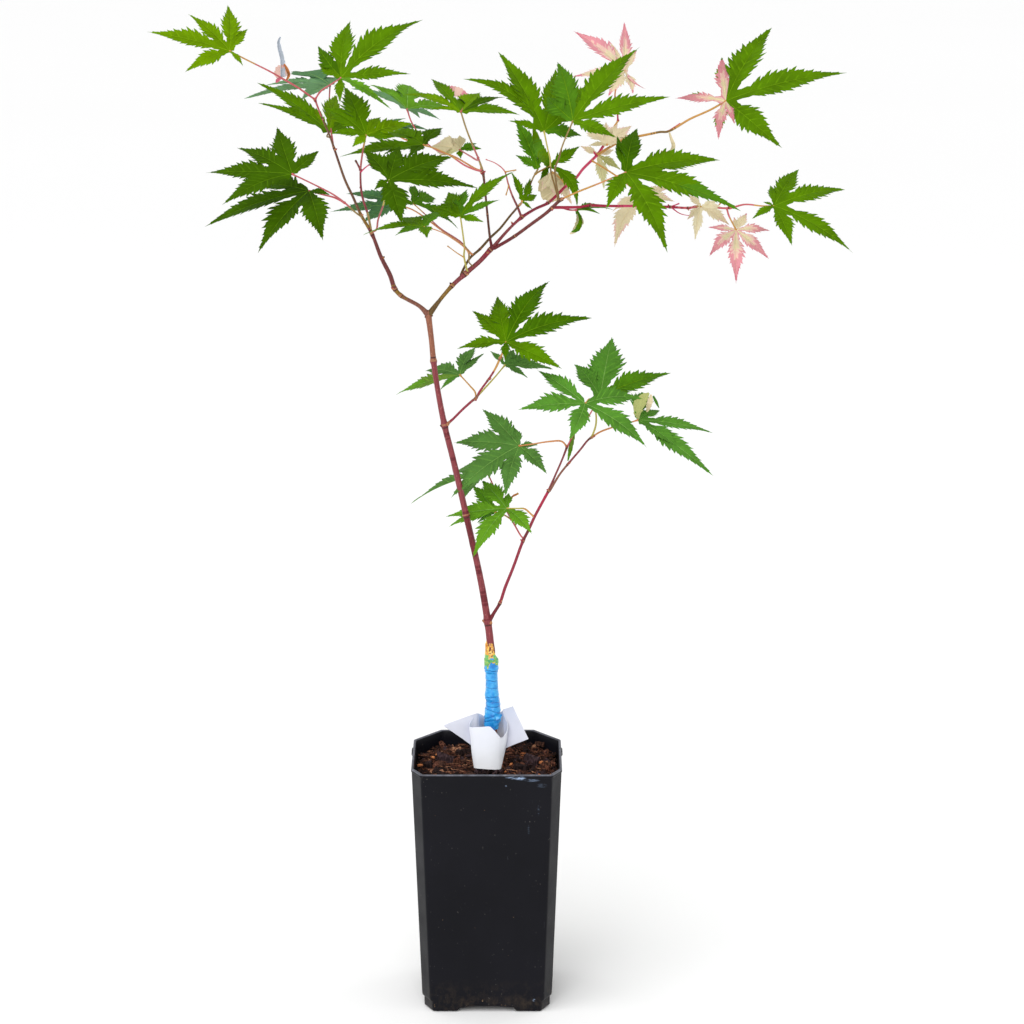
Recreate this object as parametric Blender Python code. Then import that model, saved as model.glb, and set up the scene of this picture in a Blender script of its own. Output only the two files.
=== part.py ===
# Potted Japanese maple: a young grafted plant, one slim stem with a wide open crown, in a tall square nursery pot.
# Millimetres in the tables, metres in the meshes.  +Z up, the pot's base centre is the origin, the front faces -Y.
import math

import bpy
import bmesh
from mathutils import Vector

MM = 0.001
GAP = 0.3  # clearance between pieces that touch

# ---------------------------------------------------------------- pot
POT_HEIGHT = 156.0
POT_HALF_TOP = 46.0       # half the width over the rim
POT_HALF_BOTTOM = 40.4    # half the width where the body ends above the foot
POT_WALL = 1.3
FOOT_HEIGHT = 7.0         # the foot is set in under the body
FOOT_INSET = 1.5
FOOT_WALL = 2.2
ARCH_WIDTH = 34.0         # gap between the corner feet, on all four sides
ARCH_HEIGHT = 3.2
FLOOR_THICK = 2.0
BASE_PLATE_HALF = 26.0    # flat plate in the middle of the underside, level with the feet
DRAIN_RADIUS = 3.6
# corner chamfers as (across, deep) at the rim: the back corners are cut wider than the front ones
CHAMFER_FRONT = (6.2, 12.0)
CHAMFER_BACK = (16.5, 21.0)

# ---------------------------------------------------------------- potting mix, stem foot, wrap, label
MIX_TOP = 147.5
WRAP_BOTTOM, WRAP_TOP = 172.0, 213.5
WRAP_THICK = 0.9
LABEL_THICK = 0.5

# the stem's stations: across, deep, up, radius.  It flares into the root ball at ground level, leans left going up
# and swells at its fork
TRUNK = [
    (2, 0, 147.8, 6.4), (2.2, 0, 151, 5.0), (2.6, 0, 160, 4.0), (3, 0, 172, 3.7), (3, 0, 196, 3.6), (3, 0, 214, 3.2),
    (2.4, 0, 221, 2.3), (1.4, 0, 236, 2.15), (-1, 0, 254, 2.1), (-5, 0, 273, 2.0), (-13, 0, 307, 1.95), (-20, 0, 342, 1.85),
    (-25, 0, 364, 1.9), (-30, 0, 388, 1.7), (-32.3, 0, 405, 1.75), (-34, 0, 422, 1.6), (-35, 0, 430.5, 2.4),
]

# boughs and shoots: one tapering limb each, as (start radius, end radius, trim at the start, stations)
LIMBS = {
    "bough_left": (1.7, 1.0, 2.2, [(-36, 0, 432), (-42, -1, 438), (-51, -4, 444), (-55, -5, 448), (-57, -6, 457), (-63, -7, 468),
                                   (-68, -8, 482), (-74, -6, 493), (-84, -1, 513), (-91, 6, 532), (-99, 12, 552), (-102, 14, 559)]),
    "bough_right": (1.7, 1.7, 2.2, [(-34, 0, 431), (-28, 0, 440), (-21, 1, 449), (-13, 2, 456), (-4, 3, 464), (2.5, 4, 470)]),
    "shoot_upright": (1.0, 0.8, 3.0, [(2.5, 4, 471), (2, 6, 477), (1, 12, 490), (-1, 20, 504), (-2, 26, 514), (-8, 36, 529), (-14, 43, 545)]),
    "shoot_upper_right": (1.3, 0.8, 2.8, [(3.5, 4, 471), (8, 7, 477), (16, 10, 484), (21, 14, 488), (29, 20, 493), (37, 26, 495),
                                          (48, 37, 504), (59, 50, 513), (68, 62, 520), (77, 77, 533), (85, 86, 543)]),
    "shoot_lower_right": (1.3, 0.9, 2.8, [(4, 3, 470), (8, 1, 474), (17, -4, 480), (26, -10, 488), (35, -17, 495), (39, -20, 499), (44.5, -25, 505)]),
    "shoot_level": (0.9, 0.6, 2.2, [(39, -19.5, 499.5), (56, -16, 499), (74, -11, 499), (92, -5, 498), (110, 0, 497), (121, 2, 496), (128, -3, 497),
                                    (138, -10, 498), (153, -23, 502), (163, -30, 502)]),
    "shoot_thin_inner": (0.7, 0.6, 3.0, [(-15, 2, 455), (-14, 6, 458), (-10, 10, 464), (-4, 15, 469), (4, 19, 477), (14, 20, 489),
                                         (23, 18, 498), (25, 16, 505), (29, 13, 513)]),
    "bough_middle": (1.0, 0.7, 3.0, [(-25, -1, 363), (-20, -5, 368), (-15, -6, 374), (-7, -5, 381), (1, -8, 393), (8, -13, 407)]),
    "bough_low": (1.1, 0.9, 5.6, [(1.5, -1, 240), (4, -2, 246), (8, -3, 253), (11, -4, 262), (16, -6, 276), (22, -8, 293), (30, -9, 309), (38, -11, 326)]),
    "bough_low_left_fork": (0.7, 0.6, 1.2, [(38, -11, 327), (42, -8, 334), (46, -4, 343), (49, 0, 350)]),
    "bough_low_right_fork": (0.7, 0.6, 1.9, [(38.6, -11.4, 327), (45, -13, 336), (49, -15, 343), (57, -18, 352), (63.5, -21, 360.5)]),
}

# ---------------------------------------------------------------- foliage masses
# A mass is a thin, uneven pad with the spread of a palmate leaf, and the stalk that carries it.
# pad centre | tilt of its face from level, which way the face looks | heading of its middle lobe | reach of the middle lobe
# | lobes it has (0 the middle, + to its left, - to its right) | stalk's stations from the limb to the pad
LOBE_TURN = (0, 42, 86, 132)
LOBE_REACH = (1.0, 0.92, 0.70, 0.38)
ALL = (-3, -2, -1, 0, 1, 2, 3)
MASSES = {
    "foliage_far_left": ((-150, -20, 592), 50, -63, -166, 48, ALL, [(-103, 14, 560.5), (-111, 8, 566), (-127, -5, 578), (-143, -16, 588)]),
    "foliage_left_fan_upper": ((-113, -45, 523), 37, -83, -177, 53, (-3, -2, -1, 0, 1), [(-76, -8, 492), (-83, -22, 503), (-94, -33, 512), (-107, -42, 519)]),
    "foliage_left_fan_lower": ((-104, -26, 511), 27, -116, -173, 60, (0, 1, 2, 3), [(-85, -6, 509), (-95, -18, 510)]),
    "foliage_left_crown": ((-85, -10, 575), 45, -114, 21, 58, ALL, [(-101, 13, 561.5), (-99, 10, 564), (-92, 0, 570)]),
    "foliage_left_back": ((-96, 72, 562), 8, -76, 162, 52, (-2, -1, 0, 1, 2), [(-89, 8, 528), (-84, 30, 540), (-90, 62, 557)]),
    "foliage_left_bough_end": ((-98, 24, 540), 46, -37, -179, 46, (-1, 0, 1), [(-94, 11, 536), (-95, 18, 538)]),
    "foliage_left_middle": ((-71, -12, 542), 38, -78, 113, 38, ALL, [(-68, -6, 486), (-71, -3, 493), (-75, 0, 505), (-75, 2, 519), (-73, -5, 532)]),
    "foliage_centre_back": ((-49, 82, 549), 23, -40, 85, 44, (-3, -2, -1, 0, 1, 2), [(-4, 30, 515), (-19, 50, 520), (-35, 68, 525), (-46, 80, 537)]),
    "foliage_centre_back_small": ((-62, 100, 531), 11, -137, -13, 26, (-1, 0, 1, 2), [(-37, 75, 523), (-50, 88, 525)]),
    "foliage_centre_upper": ((-38, 30, 530), 18, -95, 179, 46, (-3, -2, -1, 0, 1, 2), [(-4, 27, 516), (-12, 28, 519), (-22, 29, 524)]),
    "foliage_centre_front": ((-56, -40, 519), 40, -75, 25, 48, ALL, [(-66, -11, 484), (-64, -17, 491), (-61, -26, 501), (-58, -35, 511)]),
    "foliage_centre_low_back": ((-54, 47, 491), 21, -78, -166, 42, (-1, 0, 1), [(-11, 14, 466), (-28, 25, 478), (-42, 38, 487)]),
    "foliage_centre_low": ((-44, 5, 498), 40, -28, 20, 30, (-2, 0, 1, 2), [(-11, -1, 461), (-11, 0, 466), (-14, 2, 475), (-28, 4, 482), (-40, 4, 490)]),
    "foliage_centre_low_front": ((-36, -55, 493), 12, -124, 163, 36, (-3, -1, 0, 1, 2), [(-10, -3, 460), (-11, -10, 471), (-21, -30, 484), (-30, -46, 491)]),
    "foliage_cream_centre": ((-17, 77, 521), 22, -138, 152, 22, (-2, -1, 0, 1, 2), [(-5, 34, 521), (-10, 52, 521), (-14, 70, 521)]),
    "foliage_inner_fork": ((-15, -25, 495), 42, -136, 71, 36, (-3, -2, -1, 0, 1, 2), [(-14, -2.5, 459), (-14, -7, 468), (-13, -10, 474), (-14, -18, 484)]),
    "foliage_centre_top": ((-16, 46, 551), 20, -88, 92, 40, (-3, -2, -1, 0, 1, 2, 3), []),
    "foliage_small_tuft": ((22, 7, 499), 60, -50, 72, 20, (-2, -1, 0, 1, 2), [(20, 16.5, 495), (21, 12, 497)]),
    "foliage_right_crown_back": ((34, -30, 546), 52, -54, 80, 66, (-3, -1, 0, 1, 2, 3), [(43, -24, 507), (42, -23, 512), (39, -23, 521), (37, -27, 535)]),
    "foliage_right_crown_front": ((51, -57, 555), 43, -124, 37, 60, (-2, -1, 0, 1, 2), [(44.5, -27, 508), (42, -36, 524), (44, -46, 539)]),
    "foliage_tuft_left": ((30, 12, 518), 60, -85, 136, 32, (-1, 0, 1), []),
    "foliage_tuft_right": ((38, 23, 517), 60, -80, -50, 34, (-1, 0, 1, 2), [(31, 15.5, 515.5), (32, 20, 519.5), (34, 23.5, 520)]),
    "foliage_cream_tuft": ((40, 44, 504), 75, -85, -85, 24, (-1, 0, 1), [(51.5, 43.5, 509), (46, 45, 512), (42, 45.5, 510)]),
    "foliage_edge_on": ((55, -12, 494), 8, -90, 0, 28, (-2, -1, 0, 1), [(47, -16.5, 497.2), (50, -15, 496)]),
    "foliage_pink_top": ((85, 90, 566), 42, -64, 96, 38, (-3, -2, -1, 0, 1, 2, 3), [(85.5, 87, 545), (86, 89, 556)]),
    "foliage_cream_upper": ((73, 54, 527), 40, -100, 79, 24, (-2, -1, 0, 1), [(74.5, 70.5, 530.5), (74, 62, 528)]),
    "foliage_cream_lower": ((68, 78, 515), 50, -80, -70, 26, (-2, 0, 1, 2), [(76, 79, 530), (74, 79, 522)]),
    "foliage_right_middle": ((81, -60, 526), 35, -80, -13, 70, (-2, -1, 0, 1, 2, 3), [(45, -26, 506), (53, -32, 510), (67, -46, 518), (76, -56, 524)]),
    "foliage_cream_hanging": ((94, 42, 498), 32, -122, -119, 44, (-1, 0, 1, 2), [(72, 64.5, 521.5), (84, 56, 516), (92.5, 50, 506)]),
    "foliage_cream_right": ((129, -10, 492), 50, -88, -80, 24, (-2, -1, 0, 1, 2), [(128.5, -5, 496.2), (129, -7, 495.5)]),
    "foliage_pink_right": ((148, -27, 487), 45, -82, -87, 32, ALL, [(143, -16, 497.5), (141, -19, 494), (145, -24, 489)]),
    "foliage_far_right_top": ((144, 30, 557), 42, -116, -4, 72, ALL, [(78, 79, 532.5), (86, 70, 532), (94, 60, 532), (110, 47, 536), (123, 40, 545)]),
    "foliage_far_right": ((169, -35, 503), 31, -82, 10, 50, ALL, []),
    "foliage_middle_left": ((-16, 25, 390), 32, -142, 158, 40, (-3, -2, -1, 0, 1), [(-7, -4, 383), (-7, 2, 385), (-10, 10, 388)]),
    "foliage_middle_small": ((11, 15, 398), 27, -63, 7, 30, (-1, 0, 1, 2), [(-4.5, -4, 384), (-1, 3, 388), (5, 9, 393)]),
    "foliage_middle_crown": ((12, -20, 419), 36, -107, 47, 57, ALL, [(8, -13.5, 408.5), (9, -16, 412)]),
    "foliage_lower_left": ((20, 20, 346), 40, -93, -151, 54, ALL, [(48, 1, 351), (44, 4, 353), (36, 10, 351)]),
    "foliage_lower_left_back": ((1, 47, 325), 22, -170, 159, 58, (-1, 0, 1), [(21, -6, 295), (17, 5, 301), (11, 26, 306), (4, 40, 316)]),
    "foliage_lower_right_front": ((59, -42, 386), 36, -75, -105, 48, (-2, -1, 0, 1, 2), [(64, -22, 361.5), (66, -23, 369), (66, -24, 380), (62, -29, 389)]),
    "foliage_lower_right_back": ((69, 12, 379), 32, -102, 73, 54, (-1, 0, 1), [(50, 1, 351), (54, 4, 357), (60, 7, 364)]),
    "foliage_lower_right_end": ((91, -20, 371), 25, -68, -27, 54, (-1, 0, 1), [(64.5, -21, 361.5), (68, -20, 364), (78, -18, 367)]),
    "foliage_lowest": ((12, 6, 310), 33, -109, 177, 38, (-2, -1, 0, 1, 2), [(29.5, -8, 309.5), (24, -3, 311), (19, 0, 312)]),
    "foliage_lowest_back": ((5, 32, 302), 35, -110, 147, 28, (-1, 0, 1), [(15, 10, 300), (12, 20, 301)]),
}
STALK_RADIUS = 0.55
PAD_HALF_MIDDLE, PAD_HALF_SHOULDER, PAD_HALF_EDGE = 1.3, 0.8, 0.35
PAD_DROOP = 0.10
UNDER_BELOW = 0.55          # cosine between the stalk and the notch under which it leaves from below

# colours, linear
COLOURS = {
    "pot_black": ((0.012, 0.012, 0.014), 0.42),
    "potting_mix": ((0.06, 0.028, 0.016), 0.9),
    "graft_tape": ((0.02, 0.30, 0.83), 0.35),
    "label_white": ((0.82, 0.82, 0.88), 0.5),
    "bark": ((0.20, 0.06, 0.05), 0.5),
    "leaf_green": ((0.08, 0.19, 0.01), 0.5),
    "leaf_cream": ((0.72, 0.61, 0.38), 0.5),
    "leaf_pink": ((0.70, 0.26, 0.33), 0.5),
}


for ob in list(bpy.data.objects):
    bpy.data.objects.remove(ob, do_unlink=True)


def material(name):
    mat = bpy.data.materials.new(name)
    mat.use_nodes = True
    colour, rough = COLOURS[name]
    b = mat.node_tree.nodes["Principled BSDF"]
    b.inputs["Base Color"].default_value = (*colour, 1)
    b.inputs["Roughness"].default_value = rough
    b.inputs["Metallic"].default_value = 0.0
    return mat


def finish(bm, name, colour):
    """Close the bmesh into an object that has its own material."""
    bmesh.ops.recalc_face_normals(bm, faces=bm.faces[:])
    me = bpy.data.meshes.new(name)
    bm.to_mesh(me)
    bm.free()
    ob = bpy.data.objects.new(name, me)
    bpy.context.scene.collection.objects.link(ob)
    me.materials.append(material(colour).copy())
    me.materials[0].name = name + "_" + colour
    return ob


def frames(points):
    """A side and an up direction at each station of a path, carried along it without twist."""
    n = len(points)
    tang = []
    for i in range(n):
        a = points[max(i - 1, 0)]
        b = points[min(i + 1, n - 1)]
        tang.append((b - a).normalized())
    side = tang[0].cross(Vector((0.13, -0.96, 0.22)))
    side.normalize()
    out = []
    for t in tang:
        side = (side - t * side.dot(t)).normalized()
        out.append((side.copy(), t.cross(side)))
    return out


def tube(bm, points, radii, sides, first_ring=None):
    """Rings along a path, bridged and capped.  first_ring takes the place of the first one."""
    fr = frames(points)
    rings = []
    for i, (p, r) in enumerate(zip(points, radii)):
        if i == 0 and first_ring:
            rings.append(first_ring)
            continue
        s, u = fr[i]
        rings.append([bm.verts.new(p + s * (r * math.cos(2 * math.pi * k / sides)) + u * (r * math.sin(2 * math.pi * k / sides)))
                      for k in range(sides)])
    for a, b in zip(rings, rings[1:]):
        if a is first_ring:  # line the second ring up with the given one
            best = min(range(sides), key=lambda o: sum((a[k].co - b[(k + o) % sides].co).length for k in range(sides)))
            back = min(range(sides), key=lambda o: sum((a[k].co - b[(o - k) % sides].co).length for k in range(sides)))
            fwd_cost = sum((a[k].co - b[(k + best) % sides].co).length for k in range(sides))
            back_cost = sum((a[k].co - b[(back - k) % sides].co).length for k in range(sides))
            b[:] = [b[(k + best) % sides] for k in range(sides)] if fwd_cost <= back_cost else [b[(back - k) % sides] for k in range(sides)]
            if fwd_cost > back_cost:  # keep the same sense for the rings that follow
                for c in rings[2:]:
                    c[:] = [c[(back - k) % sides] for k in range(sides)]
            else:
                for c in rings[2:]:
                    c[:] = [c[(k + best) % sides] for k in range(sides)]
        for k in range(sides):
            bm.faces.new((a[k], a[(k + 1) % sides], b[(k + 1) % sides], b[k]))
    if not first_ring:
        bm.faces.new(rings[0])
    bm.faces.new(rings[-1])


def trimmed(points, length):
    """The path with this much cut off its start."""
    pts = [p.copy() for p in points]
    while length > 0 and len(pts) > 2 and (pts[1] - pts[0]).length <= length:
        length -= (pts[1] - pts[0]).length
        pts.pop(0)
    d = pts[1] - pts[0]
    pts[0] = pts[0] + d.normalized() * min(length, d.length * 0.8)
    return pts


def limb(name, r0, r1, trim, stations, sides=8):
    pts = trimmed([Vector(s) for s in stations], trim)
    n = len(pts)
    radii = [(r0 + (r1 - r0) * i / (n - 1)) * MM for i in range(n)]
    bm = bmesh.new()
    tube(bm, [p * MM for p in pts], radii, sides)
    return finish(bm, name, "bark")


def mass(name, centre, tilt, face, head, reach, lobes, stalk, colour):
    """One closed pad: a lobed outline about its centre, thick in the middle and thin at the edge, and its stalk."""
    c = Vector(centre)
    ti, fa, he = (math.radians(a) for a in (tilt, face, head))
    n = Vector((math.sin(ti) * math.cos(fa), math.sin(ti) * math.sin(fa), math.cos(ti)))
    h = Vector((math.cos(he), math.sin(he), 0))
    h = (h - n * h.dot(n)).normalized()
    s = n.cross(h)
    outline = []  # (turn from the heading, distance, half thickness)

    def add(turn, dist, half):
        outline.append((turn, dist, half))

    order = sorted(lobes)
    gaps = {}
    for k in order:
        turn = math.copysign(LOBE_TURN[abs(k)], k) if k else 0
        length = reach * LOBE_REACH[abs(k)] * (1 + 0.04 * math.sin(3.7 * k + reach))
        gaps[k] = (turn, length)
    first = gaps[order[0]]
    add(-180 + 12, 1.2, 0.5)
    if first[0] > -160:
        add(max(first[0] - 26, -160), 0.20 * first[1] + 1.5, PAD_HALF_SHOULDER)
    for a, b in zip(order, order[1:] + [None]):
        turn, length = gaps[a]
        add(turn - 15, 0.50 * length, PAD_HALF_SHOULDER)
        add(turn, length, PAD_HALF_EDGE)
        add(turn + 15, 0.50 * length, PAD_HALF_SHOULDER * 0.9)
        if b is not None:
            add((turn + gaps[b][0]) / 2, 0.24 * min(length, gaps[b][1]) + 1.5, PAD_HALF_SHOULDER)
    last = gaps[order[-1]]
    if last[0] < 160:
        add(min(last[0] + 26, 160), 0.20 * last[1] + 1.5, PAD_HALF_SHOULDER)
    add(180 - 12, 1.2, 0.5)
    bm = bmesh.new()
    top, low = [], []
    for i, (turn, dist, half) in enumerate(outline):
        t = math.radians(turn)
        p = c + h * (dist * math.cos(t)) + s * (dist * math.sin(t)) - n * (PAD_DROOP * dist * (dist / reach) ** 0.5)
        uneven = 1 + 0.25 * math.sin(2.3 * i + reach)
        top.append(bm.verts.new((p + n * half * uneven) * MM))
        low.append(bm.verts.new((p - n * half) * MM))
    tc = bm.verts.new((c + n * PAD_HALF_MIDDLE) * MM)
    m = len(outline)
    # the stalk leaves through the notch between the back lobes, or from under the middle where its limb is on another side
    above = bool(stalk) and (Vector(stalk[-1]) - c).dot(n) > -0.5
    under = bool(stalk) and not above and (Vector(stalk[-1]) - c).normalized().dot(-h) < UNDER_BELOW
    notch = bool(stalk) and not under
    if under:
        turns = [45, 135, 225, 315]
        ring = [bm.verts.new((c - n * PAD_HALF_MIDDLE + (h * math.cos(math.radians(a)) + s * math.sin(math.radians(a))) * STALK_RADIUS) * MM)
                for a in turns]
        near = [int(((outline[i][0] % 360) // 90)) for i in range(m)]
    else:
        lc = bm.verts.new((c - n * PAD_HALF_MIDDLE) * MM)
    for i in range(m):
        j = (i + 1) % m
        bm.faces.new((tc, top[i], top[j]))
        if under:
            bm.faces.new((ring[near[i]], low[j], low[i]))
            k = near[i]
            while k != near[j]:
                bm.faces.new((ring[k], ring[(k + 1) % 4], low[j]))
                k = (k + 1) % 4
        else:
            bm.faces.new((lc, low[j], low[i]))
        if j or not notch:
            bm.faces.new((top[i], low[i], low[j], top[j]))
    rest = [Vector(p) for p in reversed(stalk)]
    if notch:
        ring = [top[m - 1], low[m - 1], low[0], top[0]]
        out = (0.40 * reach + 1.0) if 3 in lobes or -3 in lobes else 3.0
        clear = c - h * out + n * (0.8 if above else -0.8)
        while len(rest) > 1 and (rest[0] - c).length < out * 1.15:
            rest.pop(0)
        pts = [c - h * 1.2, clear] + rest
    elif under:
        away = (rest[0] - c)
        away = (away - n * away.dot(n)).normalized()
        pts = [c - n * PAD_HALF_MIDDLE, c - n * 3.0 + away * 0.6]
        while len(rest) > 1 and (rest[0] - c).length < 5:
            rest.pop(0)
        pts += rest
    if stalk:
        tube(bm, [p * MM for p in pts], [STALK_RADIUS * MM] * len(pts), 4, first_ring=ring)
    bmesh.ops.triangulate(bm, faces=[f for f in bm.faces if len(f.verts) > 4])
    return finish(bm, name, colour)


# ---------------------------------------------------------------- the pot
def octagon(hx, hy, scale, z):
    """The pot's plan: a square with its corners cut, wider cuts at the back.  scale shrinks the cuts with the plan."""
    fx, fy = (v * scale for v in CHAMFER_FRONT)
    bx, by = (v * scale for v in CHAMFER_BACK)
    return [Vector(p) * MM for p in (
        (-hx + fx, -hy, z), (hx - fx, -hy, z), (hx, -hy + fy, z), (hx, hy - by, z),
        (hx - bx, hy, z), (-hx + bx, hy, z), (-hx, hy - by, z), (-hx, -hy + fy, z))]


def half_at(z):
    return POT_HALF_BOTTOM + (POT_HALF_TOP - POT_HALF_BOTTOM) * (z - FOOT_HEIGHT) / (POT_HEIGHT - FOOT_HEIGHT)


def plan(half, z):
    return octagon(half, half, half / POT_HALF_TOP, z)


def loft(bm, loops, cap_first=True, cap_last=True):
    rings = [[bm.verts.new(p) for p in loop] for loop in loops]
    for a, b in zip(rings, rings[1:]):
        for k in range(len(a)):
            j = (k + 1) % len(a)
            bm.faces.new((a[k], a[j], b[j], b[k]))
    if cap_first:
        bm.faces.new(rings[0])
    if cap_last:
        bm.faces.new(rings[-1])


def build_pot():
    foot = POT_HALF_BOTTOM - FOOT_INSET
    web = ARCH_HEIGHT + 0.8
    loops = [
        plan(BASE_PLATE_HALF, 0), plan(BASE_PLATE_HALF + 0.6, web),
        plan(foot - FOOT_WALL, web), plan(foot - FOOT_WALL, 0), plan(foot - 0.4, 0), plan(foot, FOOT_HEIGHT - 1.0),
        plan(half_at(FOOT_HEIGHT), FOOT_HEIGHT), plan(half_at(POT_HEIGHT - 2.5), POT_HEIGHT - 2.5),
        plan(POT_HALF_TOP + 0.25, POT_HEIGHT - 1.8), plan(POT_HALF_TOP + 0.15, POT_HEIGHT - 0.4), plan(POT_HALF_TOP - 0.3, POT_HEIGHT),
        plan(half_at(POT_HEIGHT) - POT_WALL, POT_HEIGHT - 0.3), plan(half_at(FOOT_HEIGHT) - POT_WALL - 0.4, FOOT_HEIGHT + 1.0),
        plan(half_at(FOOT_HEIGHT) - POT_WALL - 2.6, web + FLOOR_THICK), plan(BASE_PLATE_HALF - 1.5, web + FLOOR_THICK), plan(BASE_PLATE_HALF - 2.5, FLOOR_THICK),
    ]
    bm = bmesh.new()
    loft(bm, loops)
    pot = finish(bm, "pot", "pot_black")

    def cutter(name, bm2):
        ob = finish(bm2, name, "pot_black")
        ob.hide_render = True
        ob.display_type = 'WIRE'
        cut = pot.modifiers.new(name, 'BOOLEAN')
        cut.operation = 'DIFFERENCE'
        cut.solver = 'EXACT'
        cut.object = ob
        return ob

    # the arches between the corner feet: four flat wedges, cut through the foot wall only
    tools = []
    inner, outer = foot - FOOT_WALL - 1.5, foot + 3
    for i in range(4):
        bm2 = bmesh.new()
        c, s = math.cos(i * math.pi / 2), math.sin(i * math.pi / 2)

        def at(x, y, z):
            return Vector((x * c - y * s, x * s + y * c, z)) * MM
        w = ARCH_WIDTH / 2
        a = [at(-w - 1.6, -outer, -1), at(w + 1.6, -outer, -1), at(w - 1.6, -outer, ARCH_HEIGHT), at(-w + 1.6, -outer, ARCH_HEIGHT)]
        b = [at(-w - 1.6, -inner, -1), at(w + 1.6, -inner, -1), at(w - 1.6, -inner, ARCH_HEIGHT), at(-w + 1.6, -inner, ARCH_HEIGHT)]
        loft(bm2, [a, b])
        tools.append(cutter(f"arch_cut_{i}", bm2))
    # drain holes round the middle of the base plate
    for i in range(4):
        bm2 = bmesh.new()
        t = math.pi / 4 + i * math.pi / 2
        x, y = 15 * math.cos(t), 15 * math.sin(t)
        ring = [(x + DRAIN_RADIUS * math.cos(math.pi * k / 4), y + DRAIN_RADIUS * math.sin(math.pi * k / 4)) for k in range(8)]
        loft(bm2, [[Vector((px, py, -2)) * MM for px, py in ring], [Vector((px, py, 6)) * MM for px, py in ring]])
        tools.append(cutter(f"drain_cut_{i}", bm2))
    bpy.context.view_layer.update()
    dg = bpy.context.evaluated_depsgraph_get()
    me = bpy.data.meshes.new_from_object(pot.evaluated_get(dg))
    pot.modifiers.clear()
    pot.data = me
    for t in tools:
        bpy.data.objects.remove(t, do_unlink=True)
    return pot


def build_mix():
    web = ARCH_HEIGHT + 0.8
    g = GAP
    loops = [
        plan(BASE_PLATE_HALF - 3.2, FLOOR_THICK + g), plan(BASE_PLATE_HALF - 2.0, web + FLOOR_THICK + g),
        plan(half_at(FOOT_HEIGHT) - POT_WALL - 3.2, web + FLOOR_THICK + g), plan(half_at(FOOT_HEIGHT) - POT_WALL - 1.0, FOOT_HEIGHT + 1.4),
        plan(half_at(MIX_TOP - 1.5) - POT_WALL - 0.6, MIX_TOP - 2.2), plan(half_at(MIX_TOP) - POT_WALL - 4.0, MIX_TOP - 0.6),
        plan(20, MIX_TOP - 0.1), plan(9, MIX_TOP),
    ]
    bm = bmesh.new()
    loft(bm, loops)
    return finish(bm, "potting_mix", "potting_mix")


def build_trunk():
    bm = bmesh.new()
    tube(bm, [Vector(s[:3]) * MM for s in TRUNK], [s[3] * MM for s in TRUNK], 12)
    bm.verts.ensure_lookup_table()
    for v in bm.verts[:12]:  # a flat cut at ground level
        v.co.z = TRUNK[0][2] * MM
    return finish(bm, "trunk", "bark")


def build_wrap():
    """The tape round the graft: an uneven sleeve of overlapping turns."""
    sides = 16
    levels = [WRAP_BOTTOM + (WRAP_TOP - WRAP_BOTTOM) * i / 10 for i in range(11)]
    bm = bmesh.new()

    def ring(z, r):
        return [Vector((3 + r * math.cos(2 * math.pi * k / sides), r * math.sin(2 * math.pi * k / sides), z)) * MM for k in range(sides)]
    outer = [ring(z, 4.7 + WRAP_THICK * (0.35 if i % 2 else 0.05) - 0.9 * i / 10 + (0.6 if i == 1 else 0)) for i, z in enumerate(levels)]
    inner = [ring(z, 4.15) for z in (WRAP_TOP, WRAP_BOTTOM)]
    outer = [[p for p in r] for r in outer]
    for i, r in enumerate(outer):  # never thinner than the sleeve's bore allows
        for k, p in enumerate(r):
            d = Vector((p.x - 3 * MM, p.y, 0))
            if d.length < 4.5 * MM:
                d = d.normalized() * 4.5 * MM
                r[k] = Vector((3 * MM + d.x, d.y, p.z))
    loops = outer + inner
    rings = [[bm.verts.new(p) for p in loop] for loop in loops]
    for a, b in zip(rings, rings[1:] + [rings[0]]):
        for k in range(sides):
            j = (k + 1) % sides
            bm.faces.new((a[k], a[j], b[j], b[k]))
    return finish(bm, "graft_wrap", "graft_tape")


def build_label():
    """A slip-on strip label: it stands in front of the stem's foot and its two ends flare out behind."""
    # along the strip: across, deep, lower edge, upper edge
    line = [(-29, -15, 177.5, 179.5), (-20, -10, 171, 182), (-12, -7.2, 165, 181), (-10.6, -9.5, 156, 178.6), (-8.5, -11, 149, 178.8), (-3, -12, 148.2, 178.8),
            (3, -12, 148.2, 178.4), (8.8, -11, 148.6, 173.5), (11.2, -8, 154, 172.5), (11.6, -3, 163, 181), (17, 1.5, 166, 187), (25, -2.5, 169.5, 174)]
    bm = bmesh.new()
    half = LABEL_THICK / 2
    rings = []
    for i, (x, y, lo, hi) in enumerate(line):
        a = Vector(line[max(i - 1, 0)][:2])
        b = Vector(line[min(i + 1, len(line) - 1)][:2])
        t = (b - a).normalized()
        nx, ny = -t.y * half, t.x * half
        rings.append([bm.verts.new(Vector(p) * MM) for p in ((x + nx, y + ny, lo), (x - nx, y - ny, lo), (x - nx, y - ny, hi), (x + nx, y + ny, hi))])
    for a, b in zip(rings, rings[1:]):
        for k in range(4):
            j = (k + 1) % 4
            bm.faces.new((a[k], a[j], b[j], b[k]))
    bm.faces.new(rings[0])
    bm.faces.new(rings[-1])
    return finish(bm, "label", "label_white")


build_pot()
build_mix()
build_trunk()
build_wrap()
build_label()
for limb_name, (r0, r1, trim, stations) in LIMBS.items():
    limb(limb_name, r0, r1, trim, stations)
for mass_name, (centre, tilt, face, head, reach, lobes, stalk) in MASSES.items():
    colour = "leaf_pink" if "pink" in mass_name else "leaf_cream" if "cream" in mass_name else "leaf_green"
    mass(mass_name, centre, tilt, face, head, reach, lobes, stalk, colour)
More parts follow.
